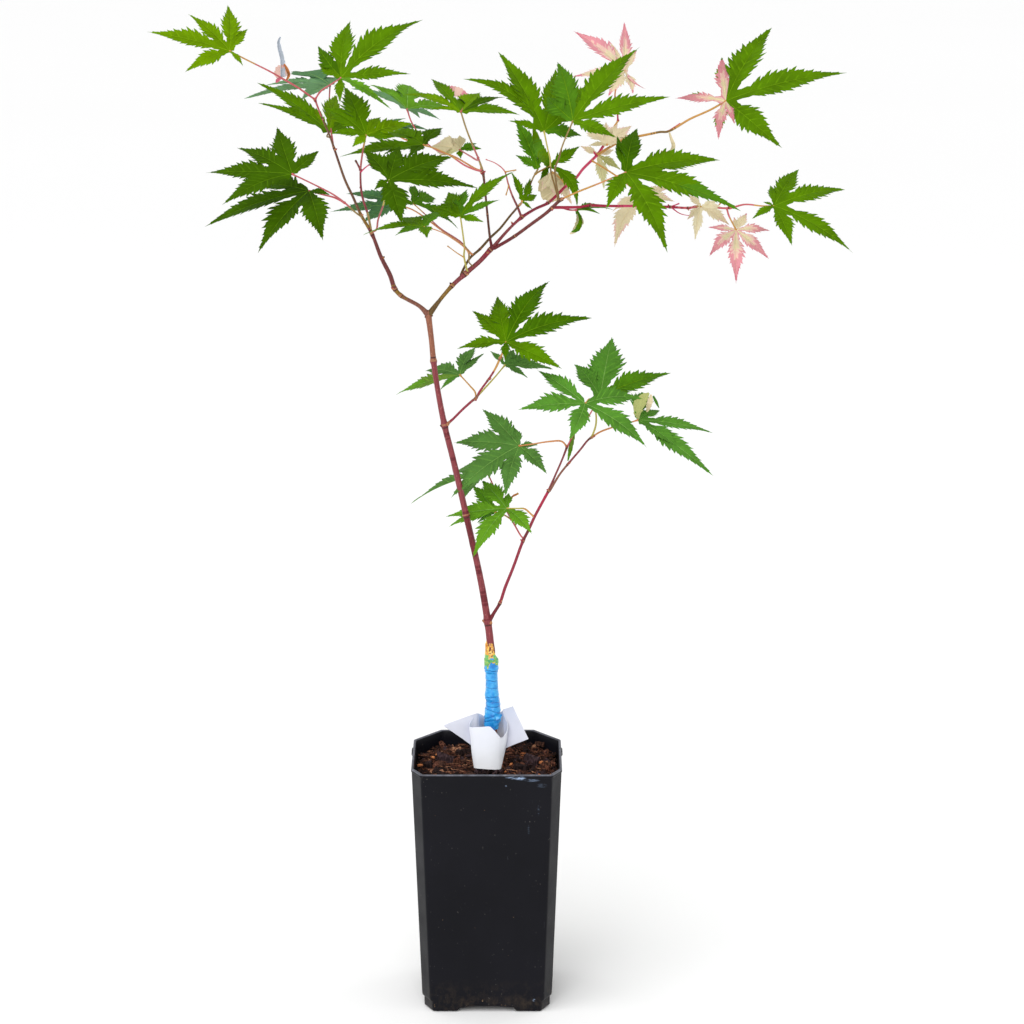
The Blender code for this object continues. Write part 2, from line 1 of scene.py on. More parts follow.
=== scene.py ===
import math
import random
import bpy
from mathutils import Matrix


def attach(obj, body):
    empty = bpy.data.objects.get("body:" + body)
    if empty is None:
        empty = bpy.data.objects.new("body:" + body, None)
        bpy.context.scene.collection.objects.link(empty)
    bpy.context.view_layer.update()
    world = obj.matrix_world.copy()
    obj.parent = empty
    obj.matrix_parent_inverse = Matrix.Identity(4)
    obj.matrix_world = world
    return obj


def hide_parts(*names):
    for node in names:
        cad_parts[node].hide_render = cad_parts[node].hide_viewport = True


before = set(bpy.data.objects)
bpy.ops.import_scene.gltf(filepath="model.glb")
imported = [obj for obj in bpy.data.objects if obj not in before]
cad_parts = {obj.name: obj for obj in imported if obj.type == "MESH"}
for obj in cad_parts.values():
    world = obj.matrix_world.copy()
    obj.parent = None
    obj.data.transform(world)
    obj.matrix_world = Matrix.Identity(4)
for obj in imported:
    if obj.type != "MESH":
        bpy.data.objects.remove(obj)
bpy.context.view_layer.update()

# The looks of a young grafted Japanese maple in a tall square nursery pot.
# Sizes are in millimetres in the tables and in metres in the meshes.  +Z up, the pot's base centre is the origin.
import zlib

import bmesh
import bpy
import numpy as np
from mathutils import Vector, noise

MM = 0.001

# ------------------------------------------------------------------ camera: one eye, fixed, 14 degrees down
EYE = np.array([15.54, -2000.0, 798.0])
PITCH = math.radians(13.73)
FOCAL = 3371.0            # in pixels of a 1024 wide frame
RIGHT = np.array([1.0, 0.0, 0.0])
AHEAD = np.array([0.0, math.cos(PITCH), -math.sin(PITCH)])
ABOVE = np.array([0.0, math.sin(PITCH), math.cos(PITCH)])


def ray(u, v):
    return AHEAD + RIGHT * (u - 512) / FOCAL - ABOVE * (v - 512) / FOCAL


def at(u, v, y):
    """The point seen at picture place u, v whose depth is y millimetres behind the stem's plane."""
    d = ray(u, v)
    return EYE + d * ((y - EYE[1]) / d[1])


def unit(a):
    a = np.asarray(a, float)
    return a / max(np.linalg.norm(a), 1e-12)


def rng_of(word):
    return random.Random(zlib.crc32(word.encode()))


# ------------------------------------------------------------------ materials
def lin(rgb):
    out = []
    for c in rgb:
        c = c / 255.0
        out.append(c / 12.92 if c <= 0.04045 else ((c + 0.055) / 1.055) ** 2.4)
    return tuple(out)


def shade(rgb, k):
    return tuple(min(255, max(0, c * k)) for c in rgb)


SKINS = {}


class Nodes:
    """Short hand for one material's node tree."""

    def __init__(self, name):
        self.mat = bpy.data.materials.new(name)
        self.mat.use_nodes = True
        self.tree = self.mat.node_tree
        self.bsdf = self.tree.nodes["Principled BSDF"]
        self.coord = self.tree.nodes.new("ShaderNodeTexCoord").outputs["Object"]

    def node(self, kind, **props):
        n = self.tree.nodes.new(kind)
        for k, v in props.items():
            setattr(n, k, v)
        return n

    def link(self, a, b):
        self.tree.links.new(a, b)

    def mapped(self, scale=(1, 1, 1), loc=(0, 0, 0), rot=(0, 0, 0)):
        m = self.node("ShaderNodeMapping")
        m.inputs["Scale"].default_value = scale
        m.inputs["Location"].default_value = loc
        m.inputs["Rotation"].default_value = rot
        self.link(self.coord, m.inputs["Vector"])
        return m.outputs["Vector"]

    def noise(self, vector, scale, detail=3.0, rough=0.55, distortion=0.0):
        n = self.node("ShaderNodeTexNoise")
        n.inputs["Scale"].default_value = scale
        n.inputs["Detail"].default_value = detail
        n.inputs["Roughness"].default_value = rough
        n.inputs["Distortion"].default_value = distortion
        self.link(vector, n.inputs["Vector"])
        return n.outputs["Fac"]

    def cells(self, vector, scale, feature="DISTANCE_TO_EDGE"):
        n = self.node("ShaderNodeTexVoronoi", feature=feature)
        n.inputs["Scale"].default_value = scale
        self.link(vector, n.inputs["Vector"])
        return n.outputs["Distance"]

    def ramp(self, fac, stops):
        n = self.node("ShaderNodeValToRGB")
        el = n.color_ramp.elements
        while len(el) < len(stops):
            el.new(0.5)
        for e, (p, c) in zip(el, stops):
            e.position = p
            e.color = (*c, 1) if len(c) == 3 else c
        self.link(fac, n.inputs["Fac"])
        return n.outputs["Color"]

    def mix(self, fac, a, b, blend="MIX"):
        n = self.node("ShaderNodeMix", data_type="RGBA", blend_type=blend)
        for value, i in ((fac, 0), (a, 6), (b, 7)):
            if isinstance(value, (int, float)):
                n.inputs[i].default_value = value
            elif isinstance(value, tuple):
                n.inputs[i].default_value = (*value, 1)
            else:
                self.link(value, n.inputs[i])
        return n.outputs[2]

    def math(self, op, a, b=None, c=None, clamp=False):
        n = self.node("ShaderNodeMath", operation=op, use_clamp=clamp)
        for i, value in enumerate((a, b, c)):
            if value is None:
                continue
            if isinstance(value, (int, float)):
                n.inputs[i].default_value = value
            else:
                self.link(value, n.inputs[i])
        return n.outputs[0]

    def bump(self, height, strength, distance, normal=None):
        n = self.node("ShaderNodeBump")
        n.inputs["Strength"].default_value = strength
        n.inputs["Distance"].default_value = distance
        self.link(height, n.inputs["Height"])
        if normal is not None:
            self.link(normal, n.inputs["Normal"])
        return n.outputs["Normal"]

    def done(self, colour, rough=0.5, spec=0.5, normal=None, coat=0.0, coat_rough=0.2, sheen=0.0, subsurface=0.0, radius=(0.6, 1.0, 0.25)):
        b = self.bsdf.inputs
        if isinstance(colour, tuple):
            b["Base Color"].default_value = (*colour, 1)
        else:
            self.link(colour, b["Base Color"])
        if isinstance(rough, (int, float)):
            b["Roughness"].default_value = rough
        else:
            self.link(rough, b["Roughness"])
        b["Specular IOR Level"].default_value = spec
        b["Coat Weight"].default_value = coat
        b["Coat Roughness"].default_value = coat_rough
        b["Sheen Weight"].default_value = sheen
        if subsurface:
            b["Subsurface Weight"].default_value = subsurface
            b["Subsurface Radius"].default_value = radius
            b["Subsurface Scale"].default_value = 0.0012
        if normal is not None:
            self.link(normal, b["Normal"])
        self.mat.diffuse_color = (0.5, 0.5, 0.5, 1)
        return self.mat


def skin_leaf(name, rgb, vary=0.10, net=0.07, rough=0.58, spec=0.03, warm=0.0):
    """A leaf's face: soft patches of two tones, a fine net of veins and a slight puckering between them."""
    n = Nodes(name)
    a = lin(shade(rgb, 1 - vary))
    b = lin(shade((rgb[0] * (1 + warm), rgb[1], rgb[2]), 1 + vary))
    patches = n.noise(n.mapped(), 70, 2.0, 0.5)
    base = n.ramp(patches, [(0.30, a), (0.70, b)])
    net_d = n.cells(n.mapped(), 780)
    line = n.ramp(net_d, [(0.0, (1, 1, 1)), (0.12, (0, 0, 0))])
    light = lin(shade(rgb, 1.32))
    share = n.math("MULTIPLY", line, net)
    colour = n.mix(share, base, light)
    pucker = n.noise(n.mapped(), 420, 2.0, 0.5)
    nor = n.bump(net_d, 0.30, 0.00018)
    nor = n.bump(pucker, 0.35, 0.0006, nor)
    return n.done(colour, rough, spec, nor)


def skin_vein(name, rgb, vary=0.10, rough=0.55, spec=0.08):
    n = Nodes(name)
    tone = n.noise(n.mapped(), 260, 2.0)
    colour = n.ramp(tone, [(0.35, lin(shade(rgb, 1 - vary))), (0.65, lin(shade(rgb, 1 + vary)))])
    fine = n.noise(n.mapped(), 1800, 1.0)
    return n.done(colour, rough, spec, n.bump(fine, 0.2, 0.0001))


def skin_bark(name, rgb, other, streak=(1, 1, 0.10), scale=1700, rough=0.42, bump=0.5, freckle=None, spec=0.22):
    """Smooth young bark: fine streaks that run up the stem, and freckles where the colour asks for them."""
    n = Nodes(name)
    long = n.noise(n.mapped(streak), scale, 3.0, 0.6)
    colour = n.ramp(long, [(0.30, lin(rgb)), (0.66, lin(other))])
    soft = n.noise(n.mapped(), 90, 2.0)
    colour = n.mix(n.math("MULTIPLY", soft, 0.35), colour, lin(shade(rgb, 0.72)))
    if freckle:
        dots = n.cells(n.mapped((1, 1, 0.6)), 620, "F1")
        mask = n.ramp(dots, [(0.10, (1, 1, 1)), (0.20, (0, 0, 0))])
        colour = n.mix(n.math("MULTIPLY", mask, 0.45), colour, lin(freckle))
    grain = n.noise(n.mapped(streak), scale * 1.6, 2.0)
    return n.done(colour, rough, spec, n.bump(grain, bump, 0.0003))


def make_skins():
    greens = {
        "leaf_sun": (95, 131, 0), "leaf_mid": (77, 115, 0), "leaf_full": (61, 99, 0), "leaf_deep": (55, 87, 0), "leaf_cool": (70, 114, 16), "leaf_dusk": (80, 122, 54),
        "leaf_soft": (78, 128, 42), "leaf_fresh": (90, 138, 30), "leaf_pale": (102, 136, 46), "leaf_blue": (96, 134, 92), "leaf_blue_deep": (78, 118, 76),
    }
    for k, rgb in greens.items():
        SKINS[k] = skin_leaf(k, rgb)
        SKINS[k + "_side"] = skin_vein(k + "_side", tuple(min(255, c * 0.97 + d) for c, d in zip(rgb, (10, 12, 3))), spec=0.03)
    SKINS["vein_lime"] = skin_vein("vein_lime", (120, 156, 20), spec=0.03)
    SKINS["vein_mid"] = skin_vein("vein_mid", (104, 142, 16), spec=0.03)
    SKINS["vein_deep"] = skin_vein("vein_deep", (90, 126, 14), spec=0.03)
    SKINS["vein_pale"] = skin_vein("vein_pale", (122, 164, 82))
    SKINS["under_green"] = skin_leaf("under_green", (104, 146, 72), 0.10, 0.12)
    SKINS["under_vein"] = skin_vein("under_vein", (152, 178, 104), spec=0.03)
    SKINS["under_side"] = skin_vein("under_side", (118, 158, 82), spec=0.03)
    SKINS["under_blue_side"] = skin_vein("under_blue_side", (136, 170, 134), spec=0.03)
    SKINS["under_blue"] = skin_leaf("under_blue", (122, 158, 122), 0.10, 0.12)
    for k, rgb, rough in (("cream_light", (217, 204, 171), 0.6), ("blush_deep", (200, 163, 150), 0.6), ("pink_dusk", (190, 124, 130), 0.6), ("cream", (206, 191, 158), 0.6), ("cream_shade", (190, 177, 141), 0.6), ("blush", (216, 178, 166), 0.6),
                          ("pink", (206, 136, 144), 0.6), ("pink_deep", (190, 100, 116), 0.6), ("ivory_green", (166, 170, 108), 0.6),
                          ("ivory", (200, 198, 150), 0.6)):
        SKINS[k] = skin_leaf(k, rgb, 0.05, 0.10, rough, 0.08)
    SKINS["vein_cream"] = skin_vein("vein_cream", (222, 204, 162), 0.06)
    SKINS["vein_rose"] = skin_vein("vein_rose", (230, 196, 176), 0.06)
    SKINS["grey_leaf"] = skin_leaf("grey_leaf", (170, 178, 190), 0.10, 0.2, 0.45, 0.4)
    SKINS["scorch"] = skin_vein("scorch", (176, 108, 62), 0.18)
    # stalks
    for k, rgb, other in (("stalk_tan", (206, 158, 84), (190, 132, 70)), ("stalk_orange", (214, 150, 92), (204, 132, 86)),
                          ("stalk_rose", (210, 108, 112), (192, 88, 98)), ("stalk_lime", (176, 178, 84), (196, 170, 90)),
                          ("stalk_olive", (138, 112, 58), (112, 80, 46)), ("stalk_crimson", (178, 44, 74), (150, 32, 58)),
                          ("stalk_pink", (214, 72, 112), (188, 46, 84)), ("stalk_wine", (112, 34, 46), (142, 48, 58)),
                          ("stalk_khaki", (164, 140, 84), (140, 112, 66)), ("stalk_brick", (186, 100, 100), (160, 84, 84))):
        SKINS[k] = skin_bark(k, rgb, other, scale=2200, rough=0.38, bump=0.35)
    # barks
    SKINS["bark_brown"] = skin_bark("bark_brown", (166, 108, 82), (128, 76, 60), freckle=(204, 162, 130))
    SKINS["bark_umber"] = skin_bark("bark_umber", (110, 64, 50), (78, 44, 38), freckle=(166, 118, 92))
    SKINS["bark_olive"] = skin_bark("bark_olive", (146, 112, 40), (110, 76, 36), freckle=(184, 152, 84))
    SKINS["bark_tawny"] = skin_bark("bark_tawny", (142, 92, 74), (110, 66, 56), freckle=(184, 138, 110))
    SKINS["bark_maroon"] = skin_bark("bark_maroon", (124, 60, 58), (92, 44, 44), freckle=(170, 110, 96))
    SKINS["bark_hazel"] = skin_bark("bark_hazel", (122, 86, 62), (92, 60, 46), freckle=(166, 128, 96))
    SKINS["bark_moss"] = skin_bark("bark_moss", (112, 86, 42), (84, 60, 34), freckle=(150, 124, 70))
    SKINS["bark_mauve"] = skin_bark("bark_mauve", (150, 70, 74), (112, 46, 54), freckle=(196, 132, 122))
    SKINS["bark_wine"] = skin_bark("bark_wine", (126, 44, 52), (86, 28, 36), freckle=(172, 98, 90))
    SKINS["bark_crimson"] = skin_bark("bark_crimson", (160, 50, 70), (118, 36, 52), freckle=(200, 120, 120))
    SKINS["bark_rust"] = skin_bark("bark_rust", (142, 78, 62), (106, 52, 46), freckle=(206, 164, 110))
    SKINS["root_brown"] = skin_bark("root_brown", (142, 80, 60), (92, 52, 40), rough=0.7, bump=0.9, freckle=(180, 130, 100))
    SKINS["scar"] = skin_bark("scar", (180, 128, 92), (140, 90, 68), scale=2600)
    SKINS["scar_dark"] = skin_bark("scar_dark", (92, 44, 40), (66, 30, 30), scale=2600)
    SKINS["bud"] = skin_bark("bud", (198, 142, 92), (150, 84, 62), scale=2600)
    SKINS["bud_red"] = skin_bark("bud_red", (176, 62, 74), (128, 40, 52), scale=2600)


# ------------------------------------------------------------------ meshes
class Bag:
    """Many small things of one kind, gathered into one mesh with a material for each face."""

    def __init__(self, name, slot, nodes=()):
        self.name, self.slot, self.nodes = name, slot, list(nodes)
        self.v, self.count, self.f, self.m, self.mats = [], 0, [], [], []

    def points(self, arr):
        arr = np.asarray(arr, float).reshape(-1, 3)
        start = self.count
        self.v.append(arr)
        self.count += len(arr)
        return list(range(start, self.count))

    def mat(self, name):
        if name not in self.mats:
            self.mats.append(name)
        return self.mats.index(name)

    def face(self, idx, mat):
        clean = []
        for i in idx:
            if i not in clean:
                clean.append(i)
        if len(clean) > 2:
            self.f.append(clean)
            self.m.append(self.mat(mat))

    def build(self, sharp=50):
        if not self.count:
            return None
        me = bpy.data.meshes.new(self.name)
        me.from_pydata((np.concatenate(self.v) * MM).tolist(), [], self.f)
        for name in self.mats:
            me.materials.append(SKINS[name])
        me.polygons.foreach_set("material_index", np.array(self.m, np.int32))
        me.validate(verbose=False)
        me.shade_smooth()
        me.set_sharp_from_angle(angle=math.radians(sharp))
        ob = bpy.data.objects.new(self.name, me)
        bpy.context.scene.collection.objects.link(ob)
        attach(ob, "root")
        if self.nodes:
            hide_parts(*self.nodes)
        return ob


def smooth_path(pts, step=1.0):
    """A smooth curve through the stations, sampled about every step millimetres; gives the points and where each station falls."""
    p = np.array(pts, float)
    if len(p) == 2:
        n = max(2, int(np.linalg.norm(p[1] - p[0]) / step) + 1)
        return np.linspace(p[0], p[1], n), [0, n - 1]
    ext = np.vstack([2 * p[0] - p[1], p, 2 * p[-1] - p[-2]])
    out, marks = [], []
    for i in range(len(p) - 1):
        a, b, c, d = ext[i:i + 4]
        t = [0.0]
        for q, r in ((a, b), (b, c), (c, d)):
            t.append(t[-1] + max(np.linalg.norm(r - q), 1e-6) ** 0.5)
        n = max(1, int(round(np.linalg.norm(c - b) / step)))
        marks.append(len(out))
        for k in range(n):
            s = t[1] + (t[2] - t[1]) * k / n
            a1 = (t[1] - s) / (t[1] - t[0]) * a + (s - t[0]) / (t[1] - t[0]) * b
            a2 = (t[2] - s) / (t[2] - t[1]) * b + (s - t[1]) / (t[2] - t[1]) * c
            a3 = (t[3] - s) / (t[3] - t[2]) * c + (s - t[2]) / (t[3] - t[2]) * d
            b1 = (t[2] - s) / (t[2] - t[0]) * a1 + (s - t[0]) / (t[2] - t[0]) * a2
            b2 = (t[3] - s) / (t[3] - t[1]) * a2 + (s - t[1]) / (t[3] - t[1]) * a3
            out.append((t[2] - s) / (t[2] - t[1]) * b1 + (s - t[1]) / (t[2] - t[1]) * b2)
    marks.append(len(out))
    out.append(p[-1])
    return np.array(out), marks


def carried_frames(path, start=(0.13, -0.96, 0.22)):
    n = len(path)
    tang = np.gradient(path, axis=0)
    tang /= np.linalg.norm(tang, axis=1)[:, None]
    side = unit(np.cross(tang[0], start))
    sides, ups = [], []
    for t in tang:
        side = unit(side - t * (side @ t))
        sides.append(side)
        ups.append(np.cross(t, side))
    return tang, np.array(sides), np.array(ups)


def tube(bag, path, radii, mats, sides=8, relief=0.0, seed="t", taper_end=True, start_cap=True):
    """A closed round limb along a path.  mats gives each ring's material; relief is the depth of the ridges, as a share of the radius."""
    r = rng_of(seed)
    tang, side, up = carried_frames(path)
    n = len(path)
    ang = 2 * math.pi * np.arange(sides) / sides
    wave = np.zeros((n, sides))
    if relief:
        s = np.arange(n)[:, None] * 1.0
        for j, amp in ((2, 0.5), (3, 0.6), (5, 0.8), (8, 0.7)):
            if j * 2 < sides:
                drift = r.uniform(-0.035, 0.035)
                wave += amp * np.sin(j * ang[None, :] + r.uniform(0, 6.3) + s * drift + 0.6 * np.sin(s * r.uniform(0.05, 0.12)))
        jit = np.array([[r.uniform(-1, 1) for _ in range(sides)] for _ in range(n)])
        wave = relief * (wave / 1.6 + 0.35 * jit)
    rad = np.asarray(radii, float)[:, None] * (1 + wave)
    pts = path[:, None, :] + side[:, None, :] * (rad * np.cos(ang))[:, :, None] + up[:, None, :] * (rad * np.sin(ang))[:, :, None]
    idx = bag.points(pts)
    for i in range(n - 1):
        for k in range(sides):
            k2 = (k + 1) % sides
            bag.face((idx[i * sides + k], idx[i * sides + k2], idx[(i + 1) * sides + k2], idx[(i + 1) * sides + k]), mats[i])
    ends = []
    if start_cap:
        ends.append((0, -tang[0], [idx[k] for k in range(sides)][::-1], mats[0]))
    ends.append((n - 1, tang[-1], [idx[(n - 1) * sides + k] for k in range(sides)], mats[-1]))
    for i, direction, ring, mat in ends:
        tip = bag.points([path[i] + direction * radii[i] * (0.7 if taper_end else 0.15)])[0]
        for k in range(sides):
            bag.face((ring[k], ring[(k + 1) % sides], tip), mat)


def bud(bag, place, direction, length, radius, mat, tip_mat=None):
    """A small pointed bud with a pinched foot."""
    d = unit(direction)
    path = np.array([np.asarray(place, float) + d * length * t for t in (0, 0.12, 0.32, 0.55, 0.78, 0.94)])
    radii = radius * np.array([0.75, 0.95, 1.0, 0.82, 0.46, 0.14])
    tube(bag, path, radii, [mat, mat, mat, tip_mat or mat, tip_mat or mat, tip_mat or mat], sides=8, relief=0.05, seed=f"{place}")


def banded(n, bands, seed):
    """Each ring's material from (share of the length, material) bands, with the joins broken up a little."""
    r = rng_of(seed)
    out = []
    for i in range(n):
        t = min(0.999, max(0, i / max(1, n - 1) + r.uniform(-0.02, 0.02)))
        for end, mat in bands:
            if t <= end:
                out.append(mat)
                break
        else:
            out.append(bands[-1][1])
    return out


# ------------------------------------------------------------------ one palmate leaf
ENV_T = [0.0, 0.10, 0.20, 0.30, 0.40, 0.48, 0.56, 0.64, 0.72, 0.80, 0.88, 0.94, 1.0]
ENV_G = [0.12, 0.31, 0.56, 0.82, 0.98, 1.00, 0.89, 0.71, 0.50, 0.31, 0.17, 0.10, 0.0]
TURN = (0, 42, 86, 132)
SHARE = (1.0, 0.92, 0.70, 0.38)
LINE = (0.3, 0.55, 0.8, 1.0)      # rows along a sinus line


def margin(length, half, along_s, across_s, teeth, rng, blunt=1.0):
    """One side's saw-toothed edge, from the sinus to the tip, as (along, across, tag) rows."""
    t0 = along_s / length

    def env(t):
        g = float(np.interp(t, ENV_T, ENV_G)) * half
        k = min(1.0, max(0.0, (t - t0) / 0.10))
        k = k * k * (3 - 2 * k)
        return across_s + (g - across_s) * k
    start = max(t0 + 0.05, 0.22)
    end = 0.93
    rows = []
    for q in (0.35, 0.75):
        t = t0 + (start - t0) * q
        rows.append((t * length, env(t), "e"))
    cuts = [start + (end - start) * (q / teeth) ** 0.94 for q in range(teeth + 1)]
    cuts = [cuts[0]] + [c + rng.uniform(-0.14, 0.14) * (end - start) / teeth for c in cuts[1:-1]] + [cuts[-1]]
    for q in range(teeth):
        a, b = cuts[q], cuts[q + 1]
        pitch = (b - a) * length
        depth = min(0.74 * pitch, 0.42 * env(0.5 * (a + b)) + 0.10) * rng.uniform(0.62, 1.28) * blunt
        rows.append((a * length, env(a) - 0.52 * depth, "N"))
        c = a + (0.44 + rng.uniform(-0.06, 0.06)) * (b - a)
        rows.append((c * length + 0.10 * pitch, env(c) + 0.16 * depth, "s"))
        rows.append(((c + 0.06 * (b - a)) * length, env(c) - 0.12 * depth, "n"))
        rows.append((b * length - 0.06 * pitch, env(b) + 0.34 * depth, "V"))
        rows.append((b * length + 0.52 * depth, env(b) + 0.58 * depth, "T"))
    t = end + 0.012
    rows.append((t * length, env(t) * 0.6, "e"))
    return rows


def find_tip(u, v, c, n, expect, reach, droop):
    """The lobe's tip on its line of sight: near the leaf's drooping plane, and about as long as such a lobe is."""
    d = ray(u, v)
    depth = (c - EYE) @ AHEAD
    ts = depth + np.linspace(-110, 110, 1761)
    p = EYE[None, :] + d[None, :] * ts[:, None]
    q = p - c
    dist = np.linalg.norm(q, axis=1)
    off = q @ n + droop * dist * np.sqrt(dist / reach)
    cost = off ** 2 + 0.10 * (dist - expect) ** 2
    return p[int(np.argmin(cost))]


def half_of(k, share, wide):
    return 0.5 * wide * (0.265 + 0.10 * (1 - share)) * (1.05 if k else 1.0)


class Lobe:
    pass


def leaf(bag, key, spec, paint):
    """A whole leaf: lobes round a hub, joined at their sinuses, as one thin closed blade.
    paint(k, t, f, tag) names the material of a face of lobe k at share t of its length and share f of its width."""
    r = rng_of("leaf" + key)
    c = at(*spec["c"])
    ti, fa = math.radians(spec["tilt"]), math.radians(spec["face"])
    n = np.array([math.sin(ti) * math.cos(fa), math.sin(ti) * math.sin(fa), math.cos(ti)])
    reach = spec["reach"]
    droop = spec.get("droop", 0.10)
    lobes = []
    ref = None
    order = sorted(spec["tips"], key=lambda k: (abs(k), k))
    for k in order:
        tip = spec["tips"][k]
        opt = tip[2] if len(tip) > 2 else {}
        whole = int(round(k))
        lo = Lobe()
        lo.k, lo.opt = k, opt
        if tip[0] is None:  # a hidden lobe, by the species' own spread
            turn = math.copysign(TURN[abs(whole)], whole)
            base = unit(ref - c - n * ((ref - c) @ n))
            t = math.radians(turn)
            length = reach * SHARE[abs(whole)]
            p = c + (base * math.cos(t) + np.cross(n, base) * math.sin(t)) * length
            lo.tip = p - n * droop * length * math.sqrt(length / reach)
        else:
            lo.tip = find_tip(tip[0], tip[1], c, n, reach * SHARE[min(3, abs(whole))], reach, droop)
        if ref is None:
            ref = lo.tip
        flat = lo.tip - c - n * ((lo.tip - c) @ n)
        base = unit(ref - c - n * ((ref - c) @ n))
        a = math.degrees(math.atan2(flat @ np.cross(n, base), flat @ base))
        want = math.copysign(TURN[min(3, abs(whole))], k) if k else 0
        while a - want > 180:
            a -= 360
        while a - want < -180:
            a += 360
        lo.turn = a
        lo.len = float(np.linalg.norm(lo.tip - c))
        lo.d = (lo.tip - c) / lo.len
        lo.s = unit(np.cross(n, lo.d))
        lo.n = np.cross(lo.d, lo.s)
        lobes.append(lo)
    lobes.sort(key=lambda l: l.turn)
    longest = max(l.len for l in lobes)
    for i, lo in enumerate(lobes):
        o = lo.opt
        lo.half = half_of(lo.k, lo.len / longest, spec.get("wide", 1.0) * o.get("w", 1.0)) * lo.len
        lo.curve = o.get("c", r.uniform(-0.03, 0.03)) * lo.len
        lo.arch = o.get("a", 0.055 + r.uniform(-0.02, 0.03)) * lo.len
        lo.keel = o.get("k", 0.16 + r.uniform(-0.06, 0.10))
        lo.wave = r.uniform(0.02, 0.06) * lo.half
        lo.phase = r.uniform(0, 6.3)
        lo.lift = 0.18 * (i % 2)
        lo.teeth = max(5, int(round((3.8 + lo.len / 12.5) * o.get("teeth", 1.0))))

    def mid(lo, x):
        t = np.clip(np.asarray(x, float) / lo.len, 0, 1)
        return (c + lo.d * np.asarray(x)[..., None] + lo.s * (lo.curve * 4 * t * (1 - t))[..., None]
                + lo.n * (lo.arch * 4 * t * (1 - t) + lo.lift * t)[..., None])

    def out(lo, x, y):
        t = np.clip(np.asarray(x, float) / lo.len, 0, 1)
        y = np.asarray(y, float)
        z = lo.arch * 4 * t * (1 - t) + lo.lift * t + lo.keel * np.abs(y) + lo.wave * np.sin(9 * t + lo.phase + np.sign(y) * 1.3) * np.clip(t * 3, 0, 1)
        return (c + lo.d * np.asarray(x)[..., None] + lo.s * (y + lo.curve * 4 * t * (1 - t))[..., None] + lo.n * z[..., None])

    gaps = []   # the sinus between lobe i and i + 1, and the free edges at the two ends
    for i in range(len(lobes) - 1):
        a, b = lobes[i], lobes[i + 1]
        gap = max(8.0, b.turn - a.turn)
        short = min(a.len, b.len)
        turn = math.radians(gap / 2)
        meets = []
        for q in (a, b):   # how far out this lobe's own width still fills its share of the wedge
            ts = np.linspace(0.06, 0.6, 109)
            fills = np.interp(ts, ENV_T, ENV_G) * q.half >= ts * q.len * math.tan(min(turn, 1.2))
            meets.append(float(ts[np.nonzero(fills)[0][-1]]) * q.len / math.cos(min(turn, 1.2)) if fills.any() else 0.0)
        rs = min(max(0.5 * (meets[0] + meets[1]), 0.14 * short), 0.36 * short) * spec.get("sinus", 1.0)
        if gap > 75:
            rs = 0.11 * short
        da = unit(a.d * math.cos(turn) + a.s * math.sin(turn))
        db = unit(b.d * math.cos(turn) - b.s * math.sin(turn))
        d = unit(da + db)
        p = c + d * rs
        za = float((out(a, np.array(rs * math.cos(turn)), np.array(rs * math.sin(turn))) - p) @ n)
        zb = float((out(b, np.array(rs * math.cos(turn)), np.array(-rs * math.sin(turn))) - p) @ n)
        gaps.append((p + n * 0.5 * (za + zb), False))
    back = 360 - (lobes[-1].turn - lobes[0].turn)
    swing = math.radians(min(40.0, max(6.0, back / 2 - 6)))
    ends = []
    for lo, sgn in ((lobes[0], -1), (lobes[-1], 1)):
        d = unit(lo.d * math.cos(swing) + lo.s * math.sin(swing) * sgn)
        ends.append((c + d * (0.09 * lo.len + 0.9) + n * 0.1, True))
    gaps = [ends[0]] + gaps + [ends[1]]

    top_hub = bag.points([c + n * 0.20])[0]
    low_hub = bag.points([c - n * 0.45])[0]
    lines = []
    for p, free in gaps:
        q = np.array([c + (p - c) * f for f in LINE])
        lines.append((bag.points(q + n * 0.09), bag.points(q - n * 0.09), p, free))
    under = spec.get("under", ("under_green", "under_vein", "under_side"))
    for i, lo in enumerate(lobes):
        sides = {}
        rr = rng_of(f"{key}{lo.k}")
        for sgn, line in ((1, lines[i + 1]), (-1, lines[i])):
            rel = line[2] - c
            xs, ys = float(rel @ lo.d), abs(float(rel @ lo.s))
            xs = max(xs, 0.25 * ys, 0.5)
            rows = [(xs * f, ys * f, "h") for f in LINE] + margin(lo.len, lo.half * (1 + rr.uniform(-0.07, 0.07)), xs, ys, lo.teeth, rr, lo.opt.get("blunt", 1.0))
            sides[sgn] = rows
        count = len(sides[1])
        xm = []
        for j in range(count):
            both = []
            for sgn in (1, -1):
                x, y, tag = sides[sgn][j]
                both.append(max(x - 0.95 * y, 0.22 * x))
            xm.append(0.5 * (both[0] + both[1]))
        for j in range(1, count):
            xm[j] = max(xm[j], xm[j - 1] + 0.03)
        lim = lo.len * 0.995
        for j in range(count - 1, -1, -1):
            if xm[j] > lim - 0.02 * (count - 1 - j):
                xm[j] = lim - 0.02 * (count - 1 - j)
        xm = np.array(xm)
        tm = xm / lo.len
        m_pts = mid(lo, xm)
        m_top = bag.points(m_pts + lo.n * 0.04)
        m_low = bag.points(m_pts - lo.n * (0.16 + 0.34 * (1 - tm) ** 1.3)[:, None])
        tip_pt = mid(lo, np.array(lo.len))
        tip_top, tip_low = bag.points([tip_pt + lo.n * 0.03, tip_pt - lo.n * 0.05])
        vein_w = 0.23 * (1 - tm) ** 0.8 * spec.get("vein", 1.0) * min(1.25, lo.len / 48) + 0.06
        for sgn, line in ((1, lines[i + 1]), (-1, lines[i])):
            rows = sides[sgn]
            x = np.array([q[0] for q in rows])
            y = np.array([q[1] for q in rows]) * sgn
            tags = [q[2] for q in rows]
            b_pts = out(lo, x, y)
            straight = np.array([c + (line[2] - c) * f for f in LINE])
